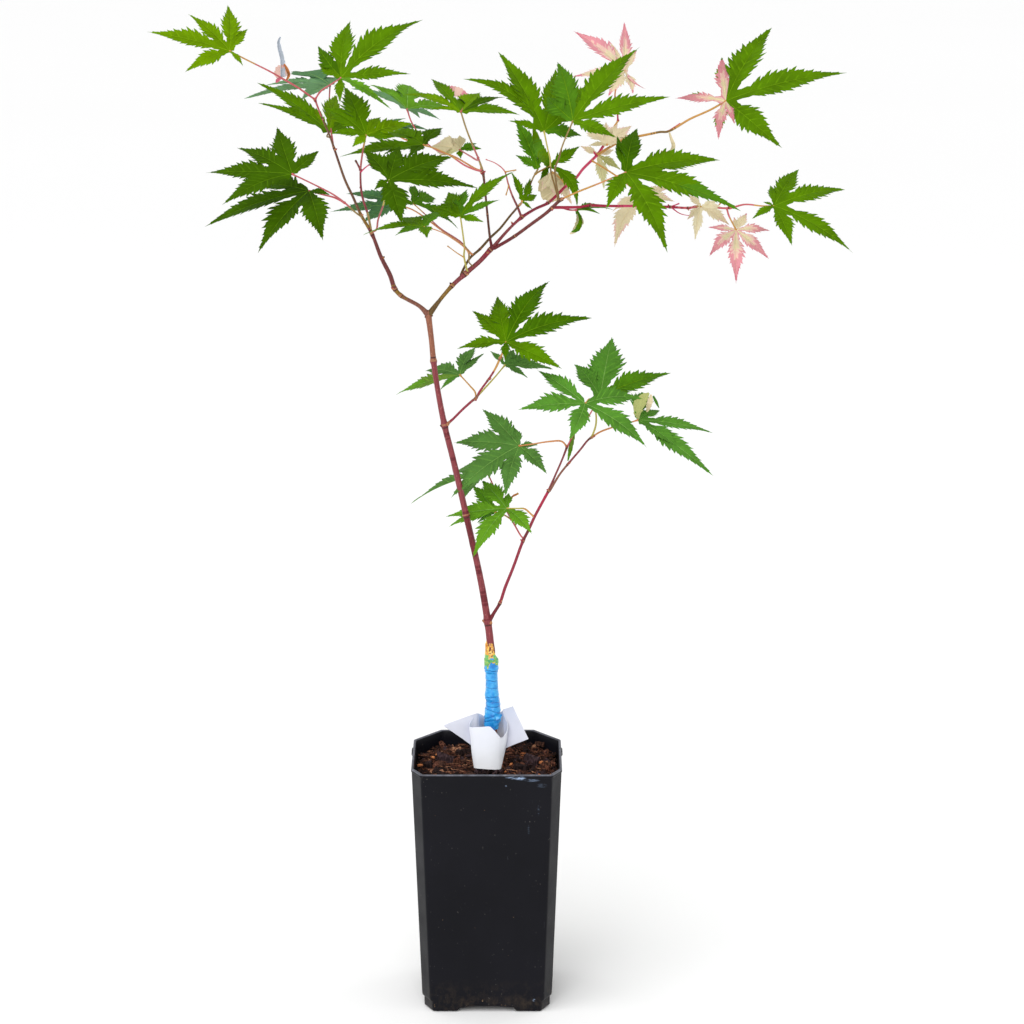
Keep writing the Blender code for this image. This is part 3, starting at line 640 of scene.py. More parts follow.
            b_pts[:4] = straight
            span = b_pts - m_pts
            width = np.linalg.norm(span, axis=1)
            fv = np.clip(vein_w / np.maximum(width, 0.05), 0.02, 0.42)
            quilt = np.array([0.0 if t in "he" else (-0.05 if t in "VT" else 0.16) for t in tags]) * np.clip(width / 5, 0.1, 1.3)
            puff = 0.035 * width
            cols = []
            for f, top_off in ((fv, 0.12), (0.36 + 0 * fv, 0.12), (0.72 + 0 * fv, 0.11)):
                bulge = puff * 4 * f * (1 - f) + quilt * np.sin(math.pi * f)
                cols.append(bag.points(m_pts + span * f[:, None] + lo.n * (top_off + bulge)[:, None]))
            fw = np.clip(fv * 1.3, 0.03, 0.45)
            v_low = bag.points(m_pts + span * fw[:, None] + lo.n * (-0.10 + puff * 4 * fw * (1 - fw) + quilt * 0.8 * np.sin(math.pi * fw))[:, None])
            f = 0.5
            c_low = bag.points(m_pts + span * f + lo.n * (-0.10 + puff * 4 * f * (1 - f) + quilt * 0.8)[:, None])
            e_top = list(line[0]) + bag.points(b_pts[4:] + lo.n * 0.06)
            e_low = list(line[1]) + bag.points(b_pts[4:] - lo.n * 0.06)
            top_cols = [m_top] + cols + [e_top]
            seq_top = [[top_hub] + col + [tip_top] for col in top_cols]
            seq_low = [[low_hub] + col + [tip_low] for col in (m_low, v_low, c_low, e_low)]
            tags2 = ["h"] + tags + ["e"]
            tms = [0.0] + list(tm) + [1.0]
            shares = (0.0, 0.2, 0.55, 0.86)
            for j in range(count + 1):
                for q in range(4):
                    a, b2 = seq_top[q], seq_top[q + 1]
                    quad = (a[j], a[j + 1], b2[j + 1], b2[j])
                    if sgn < 0:
                        quad = quad[::-1]
                    if q == 0:
                        mat = paint(lo.k, tms[j], 0.0, "vein" if tms[j] < 0.8 else "side")
                    elif q < 3 and tags2[j] == "V":
                        mat = paint(lo.k, tms[j], shares[q], "side")
                    else:
                        mat = paint(lo.k, tms[j], shares[q], "blade")
                    bag.face(quad, mat)
                for q in range(3):
                    a, b2 = seq_low[q], seq_low[q + 1]
                    quad = (a[j], b2[j], b2[j + 1], a[j + 1])
                    if sgn < 0:
                        quad = quad[::-1]
                    bag.face(quad, under[1] if q == 0 and tms[j] < 0.85 else (under[2] if tags2[j] == "V" else under[0]))
                if j >= 4 or line[3]:
                    quad = (e_topc(seq_top[4], j), e_topc(seq_top[4], j + 1), e_topc(seq_low[3], j + 1), e_topc(seq_low[3], j))
                    if sgn < 0:
                        quad = quad[::-1]
                    bag.face(quad, paint(lo.k, tms[j], 1.0, "blade"))
    return c, n


def e_topc(seq, j):
    return seq[j]


def blade_strip(bag, path, widths, face, mats, fold=0.0, teeth=0, low=None, sharp_low=None, seed="b", thick=0.09):
    """A loose strip of leaf: a curled lobe or a bract, thin and closed, along its own path."""
    r = rng_of("strip" + seed)
    p, _ = smooth_path(path, 0.45)
    n = len(p)
    tang = np.gradient(p, axis=0)
    tang /= np.linalg.norm(tang, axis=1)[:, None]
    w = np.interp(np.linspace(0, 1, n), np.linspace(0, 1, len(widths)), widths)
    for _ in range(max(1, n // 3)):
        w[1:-1] = 0.25 * w[:-2] + 0.5 * w[1:-1] + 0.25 * w[2:]
    if callable(face):
        normals = np.array([unit(face(t)) for t in np.linspace(0, 1, n)])
    else:
        normals = np.repeat([unit(face)], n, axis=0)
    top, lowr = [], []
    for i in range(n):
        nn = unit(normals[i] - tang[i] * (normals[i] @ tang[i]))
        s = np.cross(nn, tang[i])
        row_t, row_b = [], []
        for f in (-1.0, -0.5, 0.0, 0.5, 1.0):
            edge = 1.0
            if teeth and abs(f) == 1.0:
                ph = (i * teeth / n + (0.3 if f > 0 else 0.0)) % 1.0
                edge = 0.86 + 0.26 * ph
            q = p[i] + s * (f * w[i] * edge) + nn * (fold * abs(f) ** 1.4 * w[i])
            row_t.append(q + nn * thick)
            row_b.append(q - nn * thick)
        top.append(row_t)
        lowr.append(row_b)
    ti = np.array(bag.points(np.array(top))).reshape(n, 5)
    bi = np.array(bag.points(np.array(lowr))).reshape(n, 5)
    for i in range(n - 1):
        m = mats[min(len(mats) - 1, max(0, int(i / (n - 1) * len(mats) + r.uniform(-0.3, 0.3))))]
        lowm = low or m
        for k in range(4):
            bag.face((ti[i][k], ti[i + 1][k], ti[i + 1][k + 1], ti[i][k + 1])[::-1], m)
            bag.face((bi[i][k], bi[i][k + 1], bi[i + 1][k + 1], bi[i + 1][k])[::-1], lowm)
        bag.face((ti[i][0], bi[i][0], bi[i + 1][0], ti[i + 1][0])[::-1], m)
        bag.face((ti[i][4], ti[i + 1][4], bi[i + 1][4], bi[i][4])[::-1], m)
    bag.face([ti[0][k] for k in range(5)][::-1] + [bi[0][k] for k in range(5)], mats[0])
    bag.face([ti[-1][k] for k in range(5)] + [bi[-1][k] for k in range(5)][::-1], mats[-1])


# ------------------------------------------------------------------ the leaves
# c: where the stalk meets the blade (picture place, depth in mm); tilt and face: how far and which way the blade leans
# from level; reach: the longest lobe; tips: each lobe's tip, counted from the middle lobe, + to the left of it.
W = {"w": 1.0}
LEAVES = {
    "far_left": dict(c=(229.5, 51, -20), tilt=50, face=-63, reach=48, kind="g", tips={
        0: (147, 32, dict(w=0.86, c=0.02)), -1: (188, 14, dict(w=0.9)), -2: (227.5, 5, dict(w=0.95)), -3: (248, 29, dict(w=0.85)),
        1: (185, 72, dict(w=0.92, c=-0.03)), 3: (243, 66.5, dict(w=0.8))}),
    "left_fan_upper": dict(c=(292, 174, -45), tilt=37, face=-83, reach=53, kind="g", wide=1.08, tips={
        0: (206, 173, dict(w=0.92)), -1: (237, 148, {}), -2: (277, 127, {}), -3: (319, 151, {}), 1: (222, 205, dict(w=0.95))}),
    "left_fan_lower": dict(c=(309, 191, -26), tilt=27, face=-116, reach=60, kind="g", wide=1.02, tips={
        0: (205, 227, dict(w=0.95)), 1: (258, 253, {}), 2: (323, 241, {}), 3: (330, 195, {}), -1: (250, 185, {})}),
    "left_crown": dict(c=(341, 78, -10), tilt=45, face=-114, reach=58, kind="g", tips={
        0: (423, 20, dict(w=1.08, k=0.25)), 1: (350.5, 20.5, dict(w=1.0)), 2: (318, 46, dict(w=0.72)), 3: (318, 63.5, dict(w=0.8)),
        -1: (411, 74, dict(w=0.72, k=0.2)), -2: (392, 110, dict(w=0.42, k=0.9, m="leaf_fresh")), -3: (340, 103, {})}),
    "left_back": dict(c=(330, 85, 72), tilt=8, face=-76, reach=52, kind="b", wide=1.15, tips={
        0: (263, 86, {}), 1: (244, 99, dict(w=0.8)), -1: (293, 73, dict(w=1.7, blunt=0.6)), 2: (300, 101, {}), -2: (334, 78, {})}),
    "left_bough_end": dict(c=(329, 132, 24), tilt=46, face=-37, reach=46, kind="g", tips={
        0: (257, 83, dict(w=1.1)), 1: (258, 103, dict(w=0.6)), -1: (297, 98, {}), -2: (336, 95, dict(w=1.15)), -3: (350, 122, {})}),
    "left_middle": dict(c=(366, 135, -12), tilt=38, face=-78, reach=38, kind="g", wide=1.3, tips={
        0: (344, 87, {}), 1: (323, 108, {}), 2: (330, 134, dict(w=0.8)), 3: (352, 147, {}), -1: (381, 117, dict(w=0.8)), -2: (413, 124, dict(w=0.85)),
        -3: (396, 137, {})}),
    "centre_back": dict(c=(407, 109, 82), tilt=23, face=-40, reach=44, kind="b", wide=1.2, tips={
        0: (409, 86, {}), 1: (370, 85, {}), 2: (351, 89, dict(w=0.7)), -1: (455, 110, dict(w=0.8)), -2: (440, 120, {}), -3: (420, 118, {})}),
    "centre_back_small": dict(c=(388, 128, 100), tilt=11, face=-137, reach=26, kind="b", tips={
        0: (430, 131, {}), 1: (413, 124, {}), 2: (406, 119, {}), -1: (420, 137, {})}),
    "centre_upper": dict(c=(423, 145, 30), tilt=18, face=-95, reach=46, kind="g", wide=1.3, tips={
        0: (340, 157, dict(w=0.8)), -1: (385, 133, {}), -2: (404, 131, {}), -3: (443, 128, {}), 1: (383, 155, {}), 2: (409, 157, {})}),
    "centre_front": dict(c=(389, 180, -40), tilt=40, face=-75, reach=48, kind="g", wide=1.22, tips={
        0: (453, 157, dict(w=1.1)), 1: (400, 146, {}), 2: (363, 151, dict(w=1.1)), 3: (374, 190, {}), -1: (478, 188, dict(w=0.72)), -2: (402, 224, dict(w=1.15)),
        -3: (388, 205, {})}),
    "centre_low_back": dict(c=(398, 205, 47), tilt=21, face=-78, reach=42, kind="b", wide=1.15, tips={
        0: (330, 212, dict(w=0.8)), -1: (346, 194, {}), -2: (383, 185, {}), 1: (362, 224, {})}),
    "centre_low": dict(c=(413, 203, 5), tilt=40, face=-28, reach=30, kind="g", tips={
        0: (458, 229, {}), 1: (436, 199, {}), 2: (415, 186, {}), -2: (400, 204, {})}),
    "centre_low_front": dict(c=(424, 227, -55), tilt=12, face=-124, reach=36, kind="g", wide=1.25, tips={
        0: (363, 235, dict(w=0.85)), -1: (402, 218, {}), -2: (437, 212, {}), 1: (395, 236, {}), 2: (427, 238.5, {})}),
    "cream_centre": dict(c=(460, 150, 77), tilt=40, face=-110, reach=20, kind="c", wide=1.5, tips={
        0: (430.5, 147.5, dict(w=1.75, blunt=0.5, m="cream")), -1: (444, 137.5, dict(w=1.2, blunt=0.5, m="cream")), -2: (459.5, 135.5, dict(w=1.1, blunt=0.5, m="cream_shade")),
        -3: (477, 143.5, dict(m="leaf_cool", w=0.8)), 2: (461, 159, dict(m="leaf_mid")), 3: (482, 149, dict(m="leaf_cool", w=0.8)), 1: (438, 156, dict(w=0.8, m="ivory"))}),
    "inner_fork": dict(c=(460.5, 216, -25), tilt=42, face=-136, reach=36, kind="g", wide=1.1, tips={
        -2: (500, 200, dict(w=0.7)), -1: (515, 171, dict(w=0.8)), 0: (468, 189, {}), 1: (448, 192, {}), 2: (430, 208, {}), -3: (484, 222, dict(w=0.7))}),
    "centre_top": dict(c=(461, 112, 46), tilt=20, face=-88, reach=40, kind="g", wide=1.15, tips={
        2: (404, 95, dict(w=0.62)), 1: (431, 79, dict(w=0.50, c=0.03)), 0: (466, 95, dict(w=0.9, a=0.03)), -1: (480, 92.5, dict(w=1.05)), -2: (505, 97.5, dict(w=0.6, m="leaf_deep")),
        -3: (520, 115, dict(w=0.95)), 3: (430, 110, dict(w=0.6))}),
    "small_tuft": dict(c=(522, 201, 7), tilt=60, face=-50, reach=20, kind="g", tips={
        0: (530, 178, {}), 1: (517, 185, {}), 2: (511, 172, {}), -1: (537, 195, {}), -2: (532, 209, {})}),
    "right_crown_back": dict(c=(544, 131, -30), tilt=52, face=-54, reach=66, kind="g", tips={
        0: (556, 68, dict(w=0.8)), 1: (498, 52, dict(w=1.0)), 2: (463, 79, dict(w=0.74, c=-0.11, a=0.09)), 3: (508, 121, dict(w=0.7)), -1: (590, 85, {}), -3: (582, 136, dict(m="leaf_cool"))}),
    "right_crown_front": dict(c=(573, 121, -57), tilt=43, face=-124, reach=60, kind="g", tips={
        0: (640, 47, dict(w=1.0)), 1: (557.5, 62, dict(w=0.84, m="leaf_cool")), 2: (547, 97, dict(m="leaf_cool")), -1: (670, 97, dict(w=0.9)),
        -2: (617, 138, dict(w=0.75))}),
    "tuft_left": dict(c=(538, 169, 12), tilt=60, face=-85, reach=32, kind="g", tips={
        0: (514, 118, {}), 1: (515, 155, {}), -1: (541, 150, dict(w=0.7))}),
    "tuft_right": dict(c=(549, 166, 23), tilt=60, face=-80, reach=34, kind="g", tips={
        0: (577, 208, dict(w=1.05, c=0.14, a=0.16)), 1: (580, 146, {}), 2: (545, 152, {}), -1: (540, 180, {})}),
    "cream_tuft": dict(c=(552, 172, 44), tilt=75, face=-85, reach=24, kind="c", tips={
        0: (558, 200, dict(w=1.3)), 1: (572, 205, dict(w=1.2)), 2: (571, 186, dict(w=1.3)), -1: (541, 192, dict(w=1.2))}),
    "edge_on": dict(c=(577, 210, -12), tilt=8, face=-90, reach=28, kind="g", tips={
        0: (613, 210, {}), -1: (600, 214, {}), 1: (604, 205, {})}),
    "pink_top": dict(c=(625, 71, 90), tilt=42, face=-64, reach=38, kind="p", wide=0.92, tips={
        0: (624, 22, dict(w=0.64)), 1: (573, 31, dict(w=1.22)), 2: (571, 77, dict(w=0.7, m="cream")), 3: (608, 97, dict(w=1.05, m="cream")), -1: (637, 50, dict(w=0.52, m="cream")),
        -2: (645, 89, dict(w=0.36, c=-0.2)), -3: (633, 94, dict(w=1.15, m="cream")), 0.5: (608, 40, dict(w=0.4, m="cream"))}),
    "cream_upper": dict(c=(607, 145, 54), tilt=40, face=-100, reach=24, kind="c", wide=1.3, tips={
        1: (586, 125, dict(w=1.3)), 0: (618, 123.5, dict(w=1.1)), 0.5: (606, 122, dict(w=0.8)), -1: (632, 126, dict(w=1.1)), -2: (640, 137, {}), 2: (588, 146, dict(w=0.7))}),
    "cream_lower": dict(c=(598, 155, 78), tilt=50, face=-80, reach=26, kind="c", wide=1.1, tips={
        0: (604, 190, dict(m="ivory")), 1: (621, 170, dict(m="ivory_green")), -1: (580, 146, dict(m="cream_shade")), 2: (614, 150, {})}),
    "right_middle": dict(c=(626, 172.5, -60), tilt=35, face=-80, reach=70, kind="g", tips={
        # lobe 0's outer part in leaf_cool is a painted blue sheen
        0: (741, 211, dict(w=0.9, far="leaf_cool")), 1: (720, 160.5, dict(w=0.95)), 2: (637.5, 128, dict(w=0.9, blunt=0.7)), 3: (617, 136, dict(w=0.64, blunt=0.8)),
        -1: (667.5, 253, dict(w=0.95)), -2: (606, 210, dict(w=0.9))}),
    "cream_hanging": dict(c=(640, 195, 42), tilt=32, face=-122, reach=44, kind="c", wide=1.1, tips={
        0: (614.5, 247.5, {}), 1: (665, 237, dict(w=0.7)), 2: (675, 202, {}), 3: (672, 188, {}), -1: (612, 212, {})}),
    "cream_right": dict(c=(701, 207, -10), tilt=50, face=-88, reach=24, kind="c", wide=1.15, tips={
        0: (695, 241, dict(w=0.8)), 1: (730, 226, {}), 2: (723, 208, {}), 3: (717, 201, {}), -1: (688, 195, {}), -2: (687, 220, {})}),
    "pink_right": dict(c=(736, 230, -27), tilt=45, face=-82, reach=32, kind="p", tips={
        0: (736, 284, dict(w=0.9)), 1: (769, 259, {}), 2: (770, 231, dict(w=0.9)), 3: (747, 213, dict(m="cream")), -1: (709, 256.5, {}), -2: (708, 227.5, dict(w=0.8)),
        -3: (734, 217, dict(m="cream"))}),
    "far_right_top": dict(c=(726, 101, 30), tilt=42, face=-116, reach=72, kind="h", tips={
        0: (847, 73, dict(w=0.86)), 1: (772, 27.5, dict(w=1.0)), -1: (782, 148, dict(w=0.9)), 2: (722, 57, dict(w=0.62)), 3: (675, 98.5, dict(w=0.62)),
        -2: (735, 125, dict(w=0.6)), -3: (718.5, 140, dict(w=0.75))}),
    "far_right": dict(c=(774, 206, -35), tilt=31, face=-82, reach=50, kind="g", tips={
        0: (845, 190, dict(w=0.9)), 1: (799, 169, dict(w=0.85)), 2: (770, 185.5, dict(w=0.75)), 3: (763, 202, dict(w=0.8)), -1: (853, 253, dict(w=0.86)),
        -2: (792, 246, {}), -3: (752, 219, dict(w=0.9))}),
    "middle_left": dict(c=(460, 375, 25), tilt=32, face=-142, reach=40, kind="g", tips={
        0: (396, 395, dict(w=0.9, m="leaf_pale", far="leaf_fresh")), -1: (425, 371, {}), 1: (440, 390, {}), -2: (478, 346, dict(w=1.1)), -3: (484, 353.5, {})}),
    "middle_small": dict(c=(505, 365, 15), tilt=27, face=-63, reach=30, kind="g", tips={
        0: (553, 369.5, dict(w=1.1)), 1: (535, 358, {}), 2: (514, 350, {}), 3: (490, 351, {}), -1: (528, 378, {})}),
    "middle_crown": dict(c=(506, 342, -20), tilt=36, face=-107, reach=57, kind="g", tips={
        0: (550, 281, {}), 1: (497, 296, dict(w=0.9)), 2: (472, 311, dict(w=0.85)), 3: (457, 349, dict(w=0.9)), -1: (592, 318, {}), -2: (562, 369, {}), -3: (505, 361, {})}),
    "lower_left": dict(c=(519, 446, 20), tilt=40, face=-93, reach=54, kind="g", wide=1.1, tips={
        0: (451, 498, {}), 1: (505, 497, {}), 2: (547, 474, {}), 3: (538, 445, {}), -1: (453, 443, {}), -2: (482, 409, dict(w=0.9)), -3: (514, 427, {})}),
    "lower_left_back": dict(c=(488, 474, 47), tilt=22, face=-170, reach=58, kind="g", tips={
        0: (411, 504, dict(w=0.9)), -1: (455, 472, {}), 1: (462, 503, {})}),
    "lower_right_front": dict(c=(585, 403.5, -42), tilt=36, face=-75, reach=48, kind="m", wide=1.1, tips={
        0: (569, 441, dict(w=1.1)), 1: (647, 448, {}), 2: (643, 399, dict(w=1.1)), -1: (518, 410, {}), -2: (537, 370, {})}),
    "lower_right_back": dict(c=(600, 397, 12), tilt=32, face=-102, reach=54, kind="m", tips={
        0: (612, 337, dict(w=1.25)), 1: (574, 364, {}), -1: (671, 373, dict(w=1.1, m="leaf_cool"))}),
    "lower_right_end": dict(c=(638, 420, -20), tilt=25, face=-68, reach=54, kind="m", tips={
        0: (713, 476, dict(w=0.9)), 1: (713, 433, dict(w=0.8)), -1: (683, 452, {}), 2: (660, 411, {}), 3: (643, 392, dict(w=1.2, k=0.6))}),
    "lowest": dict(c=(507, 508.5, 6), tilt=33, face=-109, reach=38, kind="m", wide=1.1, tips={
        0: (445, 517, {}), 1: (473, 558, {}), 2: (532, 534, {}), -1: (482, 481, {}), -2: (509, 493, {})}),
    "lowest_back": dict(c=(495, 512, 32), tilt=35, face=-110, reach=28, kind="m", tips={
        0: (449, 527, {}), -1: (471, 485, {}), 1: (477, 523, {})}),
}

TONES = {   # which greens a leaf shows: (its usual one, its second one)
    "far_left": ("leaf_sun", "leaf_sun"), "left_fan_upper": ("leaf_deep", "leaf_deep"), "left_fan_lower": ("leaf_deep", "leaf_deep"),
    "left_crown": ("leaf_mid", "leaf_full"), "left_bough_end": ("leaf_mid", "leaf_sun"), "left_middle": ("leaf_sun", "leaf_mid"),
    "centre_upper": ("leaf_mid", "leaf_deep"), "centre_front": ("leaf_deep", "leaf_deep"), "centre_low": ("leaf_cool", "leaf_mid"),
    "centre_low_front": ("leaf_mid", "leaf_cool"), "inner_fork": ("leaf_mid", "leaf_cool"), "centre_top": ("leaf_sun", "leaf_mid"),
    "small_tuft": ("leaf_mid", "leaf_deep"), "right_crown_back": ("leaf_mid", "leaf_mid"), "right_crown_front": ("leaf_mid", "leaf_full"),
    "tuft_left": ("leaf_cool", "leaf_mid"), "tuft_right": ("leaf_mid", "leaf_deep"), "edge_on": ("leaf_cool", "leaf_cool"),
    "right_middle": ("leaf_mid", "leaf_full"), "far_right_top": ("leaf_mid", "leaf_mid"), "far_right": ("leaf_mid", "leaf_mid"),
    "middle_left": ("leaf_dusk", "leaf_soft"), "middle_small": ("leaf_dusk", "leaf_cool"), "middle_crown": ("leaf_full", "leaf_mid"),
    "lower_left": ("leaf_dusk", "leaf_dusk"), "lower_left_back": ("leaf_dusk", "leaf_fresh"), "lower_right_front": ("leaf_soft", "leaf_soft"),
    "lower_right_back": ("leaf_soft", "leaf_soft"), "lower_right_end": ("leaf_soft", "leaf_fresh"), "lowest": ("leaf_fresh", "leaf_fresh"),
    "lowest_back": ("leaf_fresh", "leaf_soft"), "left_back": ("leaf_blue", "leaf_blue_deep"), "centre_back": ("leaf_blue", "leaf_fresh"),
    "centre_back_small": ("leaf_blue", "leaf_blue"), "centre_low_back": ("leaf_blue_deep", "leaf_cool"),
}


def painter(key, kind):
    r = rng_of("paint" + key)
    own = {k: (tip[2] if len(tip) > 2 else {}) for k, tip in LEAVES[key]["tips"].items()}
    lobe_shade, lifted = {}, set()

    def tone(k):
        if k not in lobe_shade:
            lobe_shade[k] = own.get(k, {}).get("m") or r.choices(TONES[key], (3, 1))[0]
        return lobe_shade[k]

    def green(k, t, f, tag):
        s = tone(k)
        # the lobe's outer part takes its far tone; on right_middle's lobe 0 that tone is a painted blue sheen
        far = own.get(k, {}).get("far")
        if far and t > 0.42 + 0.1 * f + r.uniform(-0.03, 0.03):
            s = far
        if tag == "vein":
            if s in ("leaf_soft", "leaf_dusk", "leaf_pale", "leaf_fresh", "leaf_blue", "leaf_blue_deep"):
                return "vein_pale"
            return {"leaf_sun": "vein_lime", "leaf_deep": "vein_deep"}.get(s, "vein_mid")
        if tag == "side" and f < 0.6:
            return s + "_side"
        return s

    def cream(k, t, f, tag):
        if k not in lobe_shade:
            lobe_shade[k] = own.get(k, {}).get("m") or r.choices(("cream", "cream_shade"), (3, 1))[0]
        if lobe_shade[k].startswith("leaf"):
            return green(k, t, f, tag)
        if key in ("cream_right", "cream_lower"):
            lobe_shade[k] = {"cream_shade": "cream", "cream": "cream_light"}.get(lobe_shade[k], lobe_shade[k]) if k not in lifted else lobe_shade[k]
            lifted.add(k)
        if tag == "vein":
            return "vein_cream"
        if lobe_shade[k] == "cream" and f > 0.6 and t > 0.50 + r.uniform(-0.05, 0.05):
            return "blush"
        return lobe_shade[k]

    def pink(k, t, f, tag):
        pale = own.get(k, {}).get("m", "").startswith("cream")
        if pale and t < 0.78 + r.uniform(-0.05, 0.05):
            return "vein_cream" if tag == "vein" else ("blush" if f > 0.8 and t > 0.4 else "cream")
        edge = 0.75 * f + 1.25 * max(0.0, t - 0.22) + r.uniform(-0.06, 0.06)
        if edge < 0.34:
            return "vein_cream" if tag == "vein" else "cream"
        if tag == "vein" and t < 0.75:
            return "blush"
        if edge < 0.60:
            return "blush"
        if edge < 1.22:
            return "pink"
        return "pink_deep"

    def half(k, t, f, tag):
        if k not in (2, 3, -2, -3):
            return green(k, t, f, tag)
        # cream at the foot, flushed pink outwards, with a green rim along part of one edge and on the topmost lobe's tip
        fleck = r.random()
        if f > 0.8 and 0.42 < t < 0.66 and fleck < 0.45:
            return "leaf_fresh" if fleck < 0.3 else "stalk_olive"
        if k == 2 and t > 0.86:
            return "leaf_mid"
        m = pink(k, min(1.0, t + 0.04), f, tag)
        return {"cream": "cream_shade", "blush": "blush_deep", "pink": "pink_dusk"}.get(m, m)
    return dict(g=green, b=green, m=green, c=cream, p=pink, h=half)[kind]


UNDER = dict(g=("under_green", "under_vein", "under_side"), b=("under_blue", "under_vein", "under_blue_side"), m=("under_green", "under_vein", "under_side"),
             c=("cream_shade", "vein_cream", "cream"), p=("blush", "vein_rose", "cream"), h=("under_green", "under_vein", "under_side"))


def grow_leaves():
    groups = dict(g="leaf_green", b="leaf_blue_green", m="leaf_mid_green", c="leaf_cream", p="leaf_pink", h="leaf_green")
    bags = {}
    for key, spec in LEAVES.items():
        slot = groups[spec["kind"]]
        half = ""
        if slot == "leaf_green":
            half = "_left" if spec["c"][0] < 450 else "_right"
            if spec["c"][1] > 260:
                half = "_low"
        name = slot + half
        if name not in bags:
            bags[name] = Bag("leaves_" + name, slot)
        bag = bags[name]
        bag.nodes.append("foliage_" + key)
        spec["under"] = UNDER[spec["kind"]]
        leaf(bag, key, spec, painter(key, spec["kind"]))
    return bags


# ------------------------------------------------------------------ stem, boughs, shoots: picture place and depth of each station
def swollen(path, radii, knots):
    """Swell the limb at its nodes: (station point, height of the swelling in mm, spread in mm)."""
    radii = np.array(radii, float)
    run = np.concatenate([[0], np.cumsum(np.linalg.norm(np.diff(path, axis=0), axis=1))])
    for p, h, w in knots:
        k = int(np.argmin(np.linalg.norm(path - np.asarray(p), axis=1)))
        radii += h * np.exp(-((run - run[k]) / w) ** 2)
    return radii


